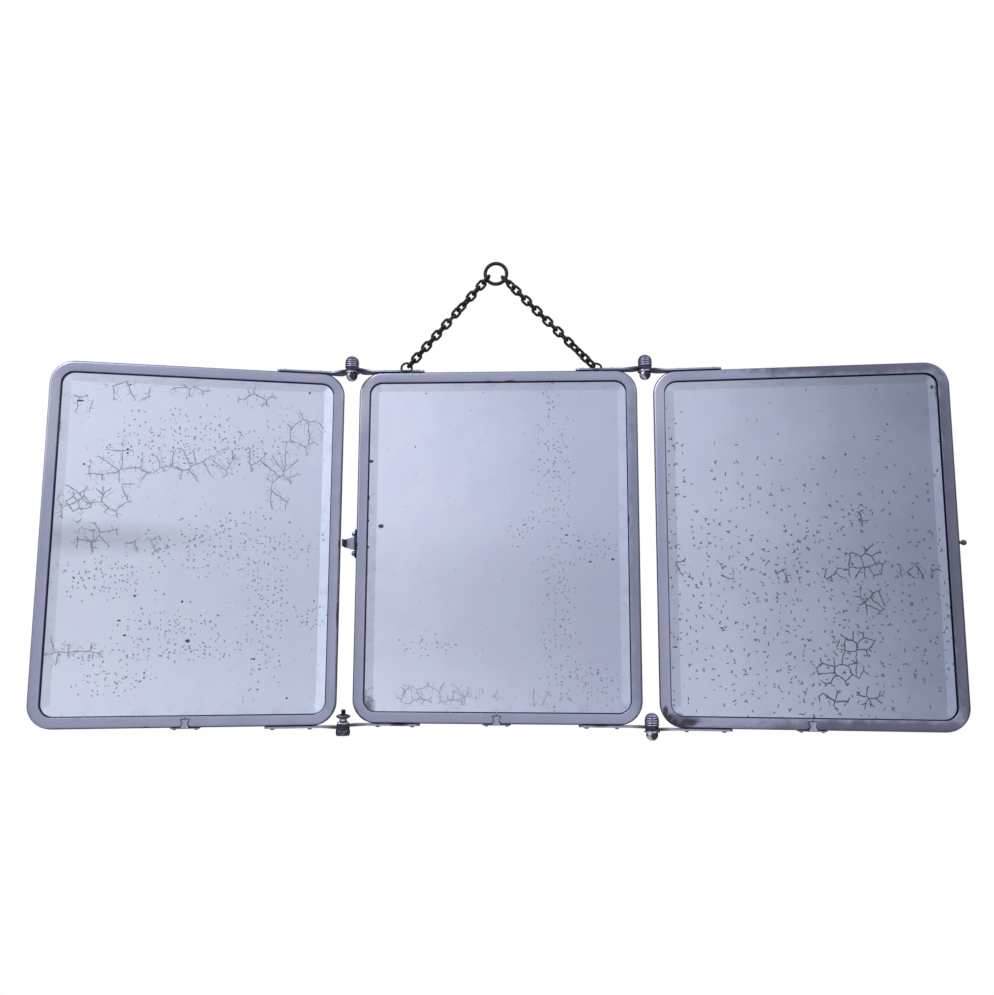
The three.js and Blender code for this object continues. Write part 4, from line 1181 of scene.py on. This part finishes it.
class MIRROR_OT_straps(MirrorPiece, bpy.types.Operator):
    """Strap hinges riveted on the leaves' top and bottom edges"""

    bl_idname = "mirror.straps"
    bl_label = "Hinge straps"

    WING_REACH = 59 * MM
    # The knuckle over an anchor ring's wire: its tube, how far its axis lies under the strap's stand, and the
    # window in the strap round it.
    KNUCKLE_RADIUS = 3 * MM
    KNUCKLE_LENGTH = 5 * MM
    KNUCKLE_BORE = 1.9 * MM
    KNUCKLE_DROP = 0.8 * MM
    WINDOW_HALF = 2.6 * MM
    WINDOW_ROOM = 0.3 * MM
    # How far a cutting shape reaches past what it cuts.
    CUT_REACH = 8 * MM

    def execute(self, context):
        nickel = shared("strap_nickel", strap_nickel)
        centre = leaf_place("centre")
        middle = centre.to_translation()
        for side, (way, joint_name) in WINGS.items():
            axis_place = Vector(JOINTS[joint_name]["pos_m"])
            leaf = leaf_place(side)
            for end in ENDS:
                node = f"centre_{side}_strap_{end}"
                low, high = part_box(node)
                start_x = (low.x if way > 0 else high.x) - middle.x
                level = low.z - middle.z
                strap = self.strap("strap_" + node, way, start_x, axis_place - middle, level)
                if end == "top":
                    self.add_knuckle(strap, side, middle, level)
                self.fit(strap, centre)
                hand_over(strap, "centre", nickel, node)
                # The wing's own strap is the same shape, mirrored about the hinge.
                node = f"{side}_strap_{end}"
                start_x = -way * (self.sizes.leaf_width / 2 - self.WING_REACH)
                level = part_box(node)[0].z - leaf.to_translation().z
                strap = self.strap(f"strap_{side}_{end}", -way, start_x, leaf.inverted() @ axis_place, level)
                self.fit(strap, leaf)
                hand_over(strap, BODIES[side], nickel, node)
        return {"FINISHED"}

    def fit(self, strap, place):
        """Softens a strap's edges, and sets it in its place."""
        soften(strap, 0.28 * MM, 40)
        strap.data.transform(place)

    def strap(self, name, way, start_x, eye, level):
        """A strap in its leaf's frame, from its free end to the eye on the hinge's axis."""
        sizes = self.sizes
        thick = sizes.strap_thickness
        edge = way * sizes.leaf_width / 2
        end_radius = sizes.strap_end
        place = ((edge + start_x) / 2, 0, level)
        bar = rounded_panel(name, abs(edge - start_x), sizes.strap_width, end_radius, 7, place)
        extrude(z=thick)
        done()
        face_outwards(bar)
        # The arm: the hull of the eye's disc and of a block at the strap's root.
        eye_middle = (eye.x, eye.y, level + thick / 2)
        arm = rod("arm", sizes.eye_radius, thick, 40, eye_middle)
        bpy.ops.object.mode_set(mode="EDIT")
        root = (edge - way * (sizes.strap_arm + end_radius) / 2, 0, level + thick / 2)
        bpy.ops.mesh.primitive_cube_add(size=1, location=root)
        root_size = (sizes.strap_arm - end_radius, sizes.strap_width, thick)
        bpy.ops.transform.resize(value=root_size, center_override=root)
        bpy.ops.mesh.select_all(action="SELECT")
        bpy.ops.mesh.convex_hull()
        done()
        combine(bar, arm, "UNION")
        combine(bar, rod("hole", sizes.eye_hole, 3 * thick, 24, eye_middle), "DIFFERENCE")
        return bar

    def add_knuckle(self, strap, side, centre, level):
        """Cuts a window round the anchor ring, and bends a knuckle over its wire."""
        sizes = self.sizes
        low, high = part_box("anchor_ring_" + side)
        x = (low.x + high.x) / 2 - centre.x
        y = -centre.y
        half = (high.x - low.x) / 2 + self.WINDOW_ROOM
        deep = 2 * sizes.strap_thickness
        far = self.CUT_REACH
        front, back = y - self.WINDOW_HALF, y + self.WINDOW_HALF
        window = block("window", (x - half, front, level - deep), (x + half, back, level + deep))
        combine(strap, window, "DIFFERENCE")
        axis = (x, y, level - sizes.strap_stand - self.KNUCKLE_DROP)
        sideways = (0, math.pi / 2, 0)
        knuckle = rod("knuckle", self.KNUCKLE_RADIUS, self.KNUCKLE_LENGTH, 36, axis, rotation=sideways)
        combine(knuckle, rod("bore", self.KNUCKLE_BORE, far, 36, axis, rotation=sideways), "DIFFERENCE")
        below = block("below", (x - half, y - far, level - far), (x + half, y + far, level))
        combine(knuckle, below, "DIFFERENCE")
        combine(strap, knuckle, "UNION")


class MIRROR_OT_hinge_bolts(MirrorPiece, bpy.types.Operator):
    """Ball-ended hinge bolts with their ribbed dome nuts, and the plain replacement at the lower left"""

    bl_idname = "mirror.hinge_bolts"
    bl_label = "Hinge bolts and nuts"

    RIBS = 4
    # How far a ball bolt's shank runs up into its dome nut.
    BOLT_REACH = 6 * MM
    # The replacement's pieces, as (radius, height) in millimetres from where each is seated: the stud's rough
    # round head, the flanged nut's flange and neck, and the thin round nut.
    STUD_HEAD = (
        (4.2, -5.6), (5.0, -5.5), (5.6, -5.0), (5.9, -3.2), (6.0, -1.4), (5.7, -0.9), (6.0, -0.6),
        (5.6, -0.1), (5.0, 0),
    )
    FLANGED_NUT = ((4.7, 0), (5.1, 0.3), (5.2, 0.9), (4.8, 1.5), (3.6, 2.3), (3.2, 2.7), (3.2, 4.1))
    THIN_NUT = (
        (3.0, 0), (3.7, 0.1), (5.3, 1.0), (5.9, 1.5), (6.0, 1.9), (5.9, 2.3), (5.2, 2.9), (3.6, 3.7),
        (2.6, 3.8),
    )
    NUT_ROOM = 0.2 * MM
    FLANGED_NUT_HEIGHT = 4.2 * MM
    # How high over the strap the thin nut sits and the stud ends over it, and where its thread shows.
    THIN_NUT_SEAT = 4.5 * MM
    STUD_TIP = 7.6 * MM
    THREAD_START = 3.8 * MM
    THREAD_PITCH = 0.44 * MM
    # Where the stud's head is chewed: the angle, and how deep in millimetres.
    CHEWED = ((-95, 0.45), (-35, 0.25), (70, 0.4), (165, 0.3))

    def execute(self, context):
        bolt, dome = self.ball_bolt(), self.dome_nut()
        for side, (_, joint_name) in WINGS.items():
            axis_place = Vector(JOINTS[joint_name]["pos_m"])
            for end in ENDS:
                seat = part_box(f"centre_{side}_strap_{end}")[0].z
                place = Matrix.Translation((axis_place.x, axis_place.y, seat))
                if (side, end) == ("left", "bottom"):
                    self.replacement(place)
                    continue
                # Each one is turned its own way, by the lengths of its names.
                turn = place @ Matrix.Rotation(len(side) * 1.7 + len(end), 4, "Z")
                node = f"{side}_{end}_hinge_bolt"
                middle = Vector((axis_place.x, axis_place.y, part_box(node)[0].z + self.sizes.ball_radius))
                nickel = ball_nickel(middle, self.sizes.ball_radius)
                piece = copied(bolt, f"ball_bolt_{side}_{end}", turn)
                hand_over(piece, "centre", nickel, node)
                node = f"{side}_{end}_dome_nut"
                nickel = dome_nickel(seat + self.sizes.strap_thickness + self.sizes.strap_stand, *self.ribs())
                piece = copied(dome, f"dome_{side}_{end}", turn)
                hand_over(piece, "centre", nickel, node)
        bpy.data.objects.remove(bolt)
        bpy.data.objects.remove(dome)
        return {"FINISHED"}

    def ball_bolt(self):
        """A bolt on the strap's underside: ball, collar and shank."""
        sizes = self.sizes
        seat = -2 * sizes.strap_stand - sizes.strap_thickness
        ball, collar, thick = sizes.ball_radius, sizes.collar_radius, sizes.collar_thickness
        middle = seat - thick - sizes.ball_seat
        shoulder = math.degrees(math.asin(sizes.ball_seat / ball))
        top = sizes.strap_thickness + self.BOLT_REACH
        profile = [
            *arc(ball, middle, -88, shoulder, 16),
            (collar - thick * 0.45, seat - thick),
            *[(collar - thick / 2 + r, seat - thick / 2 + z) for r, z in arc(thick / 2, 0, -80, 80, 6)],
            (collar - thick * 0.45, seat),
            (sizes.bolt_radius, seat),
            (sizes.bolt_radius, top),
        ]
        bolt = turned("ball_bolt", profile, 36)
        smooth(bolt, 45)
        return bolt

    def ribs(self):
        """The height of one rib, and of all the ribs on a dome nut."""
        ribbed = self.sizes.nut_height - self.sizes.nut_radius * 0.55
        return ribbed / self.RIBS, ribbed

    def dome_nut(self):
        """A nut with rounded ribs that follow its wall, then lean in with the dome."""
        sizes = self.sizes
        seat = sizes.strap_thickness + sizes.strap_stand
        radius, depth = sizes.nut_radius, sizes.rib_depth
        crown = seat + sizes.nut_height - radius
        pitch, _ = self.ribs()
        profile = [(radius - depth, seat)]
        for rib in range(self.RIBS):
            for share in (0.1, 0.25, 0.5, 0.75, 0.9, 1.0):
                level = seat + (rib + share) * pitch
                wall = radius if level < crown else math.sqrt(max(radius**2 - (level - crown) ** 2, 0))
                groove = depth * (1 - math.sin(math.pi * share) ** 0.7)
                profile.append((wall - groove, level))
        last = math.degrees(math.asin((profile[-1][1] - crown) / radius))
        profile += arc(radius, crown, last + 5, 88, 8)
        dome = turned("dome_nut", profile, 36)
        smooth(dome, 50)
        return dome

    def replacement(self, place):
        """The stud with a rough round head, a flanged nut with its neck, and a thin round nut."""
        sizes = self.sizes
        bore = sizes.bolt_radius
        seat = -2 * sizes.strap_stand - sizes.strap_thickness
        flange = sizes.strap_thickness + sizes.strap_stand
        thin_seat = flange + self.THIN_NUT_SEAT
        tip = thin_seat + self.STUD_TIP
        threads = []
        level = thin_seat + self.THREAD_START
        while level < tip - 0.7 * MM:
            threads += [(bore * 0.86, level), (bore, level + self.THREAD_PITCH / 2)]
            level += self.THREAD_PITCH
        head = [*profile_at(seat, self.STUD_HEAD), (bore, seat)]
        stud = turned("stud", [*head, (bore, threads[0][1] - 0.1 * MM), *threads, (bore * 0.66, tip)], 28)
        for middle, dent in self.CHEWED:

            def chewed(point):
                angle = math.degrees(math.atan2(point.co.y, point.co.x))
                return point.co.z < seat - 4.4 * MM and abs((angle - middle + 180) % 360 - 180) < 17

            choose(stud, "VERT", chewed)
            bpy.ops.transform.translate(value=(0, 0, dent * MM))
            done()
        inside, top = bore + self.NUT_ROOM, flange + self.FLANGED_NUT_HEIGHT
        outline = [(inside, flange), *profile_at(flange, self.FLANGED_NUT), (inside, top)]
        nut = turned("flanged_nut", outline, 36)
        thin = turned("thin_nut", profile_at(thin_seat, self.THIN_NUT), 36)
        steel = shared("dark_steel", dark_steel)
        for piece, node, slot, material in (
            (stud, "left_bottom_hinge_stud", "dull_metal", steel),
            (nut, "left_bottom_flange_nut", "bright_metal", shared("polished_nickel", polished_nickel)),
            (thin, "left_bottom_round_nut", "dull_metal", steel),
        ):
            smooth(piece, 40)
            piece.data.transform(place)
            hand_over(piece, "centre", material, node)


class MIRROR_OT_latch(MirrorPiece, bpy.types.Operator):
    """Latch plate with its flange, tongue and ball rivets, and the knob on the right wing"""

    bl_idname = "mirror.latch"
    bl_label = "Latch and knob"

    PLATE_DEPTH = 7.6 * MM
    # How high the flange is at its root, where it meets the plate, and the share left at the tongue's tip.
    FLANGE_ROOT = 12.2 * MM
    TONGUE_TAPER = 0.86
    # The ball rivets, and how far a ball's middle stands off the plate.
    BALL_RADIUS = 2.6 * MM
    BALL_STAND = 0.52 * MM
    BALL_SHANK = ((1.1, -3), (1.1, 0), (2.2, 0))
    # The knob's stem, as (radius, height) in millimetres from the frame, and where its ball's middle stands.
    KNOB_STEM = (
        (1.1, -1.8), (1.1, 0.3), (2.0, 0.3), (2.1, 0.45), (2.0, 0.6), (1.4, 0.9), (1.2, 1.5), (1.25, 1.9),
    )
    KNOB_MIDDLE = 4 * MM

    def execute(self, context):
        hand_over(self.plate(), "centre", latch_nickel(), "latch_plate")
        profile = profile_at(0, self.BALL_SHANK) + arc(self.BALL_RADIUS, self.BALL_STAND, -8, 88, 10)
        ball = turned("ball_rivet", profile, 24)
        smooth(ball, 45)
        for end in ("upper", "lower"):
            node = "latch_rivet_" + end
            low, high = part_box(node)
            middle = Vector((low.x + self.BALL_RADIUS, (low.y + high.y) / 2, (low.z + high.z) / 2))
            place = Matrix.Translation(middle + Vector((self.BALL_STAND, 0, 0)))
            piece = copied(ball, "ball_rivet_" + end, place @ Matrix.Rotation(-math.pi / 2, 4, "Y"))
            hand_over(piece, "centre", ball_nickel(middle, self.BALL_RADIUS), node)
        bpy.data.objects.remove(ball)
        profile = profile_at(0, self.KNOB_STEM) + arc(self.sizes.knob_radius, self.KNOB_MIDDLE, -52, 88, 12)
        knob = turned("knob", profile, 24)
        smooth(knob, 45)
        place = leaf_place("right") @ Matrix.Translation((self.sizes.leaf_width / 2, 0, 0))
        knob.data.transform(place @ Matrix.Rotation(math.pi / 2, 4, "Y"))
        hand_over(knob, "right_wing", shared("dark_steel", dark_steel), "latch_knob")
        return {"FINISHED"}

    def plate(self):
        """The side plate, the flange that widens towards the leaf, and the tongue folded forward."""
        low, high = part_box("latch_plate")
        thick = self.sizes.latch_thickness
        middle = (low.z + high.z) / 2
        tip = self.sizes.latch_tip / 2
        front = high.y - self.PLATE_DEPTH
        plate = block("latch", (high.x - thick, front, low.z), (high.x, high.y, high.z))
        flange = block("flange", (low.x, front, middle - tip), (high.x, front + thick, middle + tip))
        choose(flange, "VERT", lambda point: point.co.x > (low.x + high.x) / 2)
        widening = (1, 1, self.FLANGE_ROOT / self.sizes.latch_tip)
        bpy.ops.transform.resize(value=widening, center_override=(high.x, front, middle))
        done()
        combine(plate, flange, "UNION")
        tongue = block("tongue", (low.x, low.y, middle - tip), (low.x + thick, front + thick, middle + tip))
        choose(tongue, "VERT", lambda point: point.co.y < (low.y + front) / 2)
        bpy.ops.transform.resize(value=(1, 1, self.TONGUE_TAPER), center_override=(low.x, low.y, middle))
        done()
        combine(plate, tongue, "UNION")
        soften(plate, 0.22 * MM, 40)
        return plate


class MIRROR_OT_hanger(MirrorPiece, bpy.types.Operator):
    """Hanging ring, anchor rings and the two halves of the chain, link by link"""

    bl_idname = "mirror.hanger"
    bl_label = "Ring and chain"

    # Each half of the chain: its angle in the hanging ring and in the anchor ring, the anchor ring's lean,
    # the number of links, and where it is twisted: from which link, to which link, by how many degrees.
    HALVES = {
        "left": (198, 40, 0, 16, [(3, 9, 90)]),
        "right": (-27, 150, 28, 17, [(-2, 3, 90), (8, 15, 65)]),
    }
    # Room between a ring and its end link, and how far neighbouring links press together.
    GRIP_CLEARANCE = 0.5 * MM
    LINK_NIP = 0.35 * MM

    def execute(self, context):
        sizes = self.sizes
        wire = shared("blackened_wire", black_wire)
        low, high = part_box("hanging_ring")
        hang = (low + high) / 2
        radius = (high.x - low.x) / 2 - sizes.ring_wire
        ring = wire_ring("ring_hanging", radius, sizes.ring_wire, 20, 72)
        ring.data.transform(Matrix.Translation(hang))
        hand_over(ring, "hanger", wire, "hanging_ring")
        for side, (ring_grip, anchor_grip, lean, links, twists) in self.HALVES.items():
            low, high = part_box("anchor_ring_" + side)
            anchor_radius = (high.x - low.x) / 2 - sizes.anchor_wire
            foot = Vector(((low.x + high.x) / 2, hang.y, low.z + sizes.anchor_wire))
            tilt = Matrix.Rotation(-math.radians(lean), 4, "X")
            anchor = wire_ring("ring_anchor_" + side, anchor_radius, sizes.anchor_wire, 16, 48)
            stand = Matrix.Translation(foot) @ tilt @ Matrix.Translation((0, 0, anchor_radius))
            anchor.data.transform(stand)
            hand_over(anchor, "hanger", wire, "anchor_ring_" + side)
            top = self.grip(Matrix.Translation(hang), radius, sizes.ring_wire, ring_grip)
            end = self.grip(stand, anchor_radius, sizes.anchor_wire, anchor_grip)
            self.chain(side, top, end, links, twists, wire)
        return {"FINISHED"}

    def grip(self, stand, radius, wire, angle):
        """Where the middle of an end link's wire bears inside a ring."""
        reach = radius - wire - self.sizes.link_wire - self.GRIP_CLEARANCE
        turn = math.radians(angle)
        return stand @ Vector((reach * math.cos(turn), 0, reach * math.sin(turn)))

    def twist(self, order, twists):
        """How far a link is twisted, in degrees."""
        total = 0.0
        for first, last, turn in twists:
            share = min(max((order - first) / (last - first), 0), 1)
            total += turn * share * share * (3 - 2 * share)
        return total

    def chain(self, side, top, end, links, twists, wire):
        """Sets the links of one half between its two grips, each turned a quarter from the last."""
        sizes = self.sizes
        along = end - top
        pitch = (along.length - 2 * sizes.link_wire + self.LINK_NIP) / links
        link_length = pitch + 4 * sizes.link_wire - self.LINK_NIP
        along.normalize()
        across = Vector((0, 1, 0)).cross(along).normalized()
        outward = along.cross(across)
        pattern = start(
            bpy.ops.mesh.primitive_torus_add, "link", major_radius=sizes.link_width / 2 - sizes.link_wire,
            minor_radius=sizes.link_wire, major_segments=26, minor_segments=12,
        )
        for way in (1, -1):
            choose(pattern, "VERT", lambda point: point.co.x * way > 0)
            bpy.ops.transform.translate(value=(way * (link_length - sizes.link_width) / 2, 0, 0))
            done()
        smooth(pattern, 60)
        for order in range(links):
            turn = math.radians(90 + 90 * order + self.twist(order, twists))
            width = across * math.cos(turn) + outward * math.sin(turn)
            thick = along.cross(width)
            middle = top + along * (link_length / 2 - sizes.link_wire + order * pitch)
            place = Matrix.Translation(middle) @ Matrix((along, width, thick)).transposed().to_4x4()
            link = copied(pattern, f"link_{side}_{order + 1:02d}", place)
            hand_over(link, "hanger", wire, "chain_" + side)
        bpy.data.objects.remove(pattern)


class MIRROR_OT_stage(MirrorPiece, bpy.types.Operator):
    """Pale floor, soft lamps, pale surroundings and the camera"""

    bl_idname = "mirror.stage"
    bl_label = "Stage and camera"

    FLOOR_LEVEL = -1.5
    # Lamps: place and size in metres, and watts.
    LAMPS = {"lamp_key": ((-1.0, -1.1, 1.35), 0.9, 16), "lamp_fill": ((1.5, -0.9, 0.9), 1.2, 7)}
    LAMPS_AIM = (0, 0, -0.2)
    # The camera fitted to the photograph: lens in millimetres, place, and turns in radians about Z, X and Y.
    LENS = 34.03
    CAMERA_PLACE = (0.04283, -0.80843, -0.32708)
    CAMERA_TURNS = ((0.0510, "Z"), (0.1412, "X"), (-0.003, "Y"))

    def execute(self, context):
        self.floor()
        self.surroundings(context.scene)
        for name, row in self.LAMPS.items():
            self.lamp(name, *row)
        self.camera(context.scene)
        return {"FINISHED"}

    def floor(self):
        """A pale floor that the camera sees as white."""
        floor = strip("stage_floor", 5, 5, (0, 0, self.FLOOR_LEVEL))
        finish = Finish("pale_floor")
        grain = finish.noise(90, 2)
        finish.set("Base Color", finish.mix(grain, (0.80, 0.80, 0.81), (0.84, 0.84, 0.84)))
        finish.set("Roughness", 0.8)
        seen = finish.node("ShaderNodeLightPath").outputs["Is Camera Ray"]
        white = finish.node("ShaderNodeEmission", None, {"Color": (1, 1, 1, 1), "Strength": 1.0}).outputs[0]
        blend = finish.node("ShaderNodeMixShader", None, {0: seen, 1: finish.shader.outputs[0], 2: white})
        finish.feed(finish.output.inputs[0], blend.outputs[0])
        floor.data.materials.append(finish.material)

    def surroundings(self, scene):
        """White to the camera and through glass; to metal and mirror a pale room, dim low down and behind."""
        scene.world = bpy.data.worlds.new("pale_room")
        scene.world.use_nodes = True
        world = Nodes(scene.world.node_tree)

        def blend(share, first, second):
            return world.number("ShaderNodeMix", {"data_type": "FLOAT"}, {0: share, 2: first, 3: second})

        facing = world.node("ShaderNodeTexCoord").outputs["Generated"]
        sideways, depth, height = world.split(facing)
        # The room in front: dimmer on the left, brighter on the right, a little brighter from eye level up.
        room = sideways.rise(-0.27, -0.19, 0.66, 0.82) * sideways.rise(0.24, 0.36, 1.0, 1.32)
        room = room * height.rise(0.05, 0.14, 0.93, 1.0) * height.rise(-0.07, 0.0, 1.05, 1.0)
        room = room * height.rise(0.10, 0.22, 1.0, 1.05)
        # Its sides, floor and top are darker, and so is its back, darkest below eye level.
        room = room * sideways.rise(0.46, 0.72, 1.0, 0.34) * sideways.rise(-0.85, -0.60, 0.80, 1.0)
        room = room * height.rise(-0.75, -0.34, 0.10, 1.0) * height.rise(0.36, 0.46, 1.0, 0.85)
        room = room * blend(depth.rise(-0.30, 0.40), 1.0, height.rise(-0.04, 0.03, 0.07, 0.62))
        # A window up on the left.
        towards = {0: facing, 1: (-0.80, -0.46, 0.38)}
        window = world.number("ShaderNodeVectorMath", {"operation": "DOT_PRODUCT"}, towards, "Value")
        room = room + window.rise(0.93, 0.96, 0.0, 1.4)
        rays = world.node("ShaderNodeLightPath").outputs
        strength = blend(rays["Is Glossy Ray"], 0.62, room)
        seen = Number(world, rays["Is Camera Ray"]).larger(rays["Is Transmission Ray"])
        inputs = {"Color": (1, 1, 1, 1), "Strength": blend(seen, strength, 1.0)}
        background = world.node("ShaderNodeBackground", None, inputs)
        world.node("ShaderNodeOutputWorld", None, {0: background.outputs[0]})

    def lamp(self, name, place, size, watts):
        """A square lamp that points at the mirror."""
        data = bpy.data.lights.new(name, "AREA")
        data.size = size
        data.energy = watts
        lamp = bpy.data.objects.new(name, data)
        bpy.context.scene.collection.objects.link(lamp)
        lamp.location = place
        aim = Vector(self.LAMPS_AIM) - Vector(place)
        lamp.rotation_euler = aim.to_track_quat("-Z", "Y").to_euler()

    def camera(self, scene):
        """A camera that stands level and faces the mirror before its turns."""
        data = bpy.data.cameras.new("camera")
        data.lens = self.LENS
        data.clip_start = 0.01
        camera = bpy.data.objects.new("camera", data)
        scene.collection.objects.link(camera)
        place = Matrix.Translation(self.CAMERA_PLACE)
        for angle, axis in self.CAMERA_TURNS:
            place = place @ Matrix.Rotation(angle, 4, axis)
        camera.matrix_world = place @ Matrix.Rotation(math.pi / 2, 4, "X")
        scene.camera = camera
        scene.view_settings.view_transform = "Standard"


class MIRROR_PT_panel(bpy.types.Panel):
    """Lists the mirror's pieces and their sizes and colours"""

    bl_idname = "MIRROR_PT_panel"
    bl_label = "Three-leaf mirror"
    bl_space_type = "VIEW_3D"
    bl_region_type = "UI"
    bl_category = "Mirror"

    def draw(self, context):
        layout = self.layout
        for operator in OPERATORS:
            layout.operator(operator.bl_idname)
        for group in (context.scene.mirror_sizes, context.scene.mirror_colours):
            box = layout.box()
            for name in group.bl_rna.properties.keys():
                if name not in ("rna_type", "name"):
                    box.prop(group, name)


OPERATORS = (
    MIRROR_OT_frames,
    MIRROR_OT_glasses,
    MIRROR_OT_clips,
    MIRROR_OT_straps,
    MIRROR_OT_rivets,
    MIRROR_OT_hinge_bolts,
    MIRROR_OT_latch,
    MIRROR_OT_hanger,
    MIRROR_OT_stage,
)
CLASSES = (MirrorSizes, MirrorColours, *OPERATORS, MIRROR_PT_panel)


def register():
    for kind in CLASSES:
        bpy.utils.register_class(kind)
    bpy.types.Scene.mirror_sizes = bpy.props.PointerProperty(type=MirrorSizes)
    bpy.types.Scene.mirror_colours = bpy.props.PointerProperty(type=MirrorColours)


def unregister():
    del bpy.types.Scene.mirror_colours
    del bpy.types.Scene.mirror_sizes
    for kind in reversed(CLASSES):
        bpy.utils.unregister_class(kind)


def main():
    register()
    bpy.ops.mirror.frames()
    bpy.ops.mirror.glasses()
    bpy.ops.mirror.clips()
    bpy.ops.mirror.straps()
    bpy.ops.mirror.rivets()
    bpy.ops.mirror.hinge_bolts()
    bpy.ops.mirror.latch()
    bpy.ops.mirror.hanger()
    bpy.ops.mirror.stage()


if __name__ == "__main__":
    main()
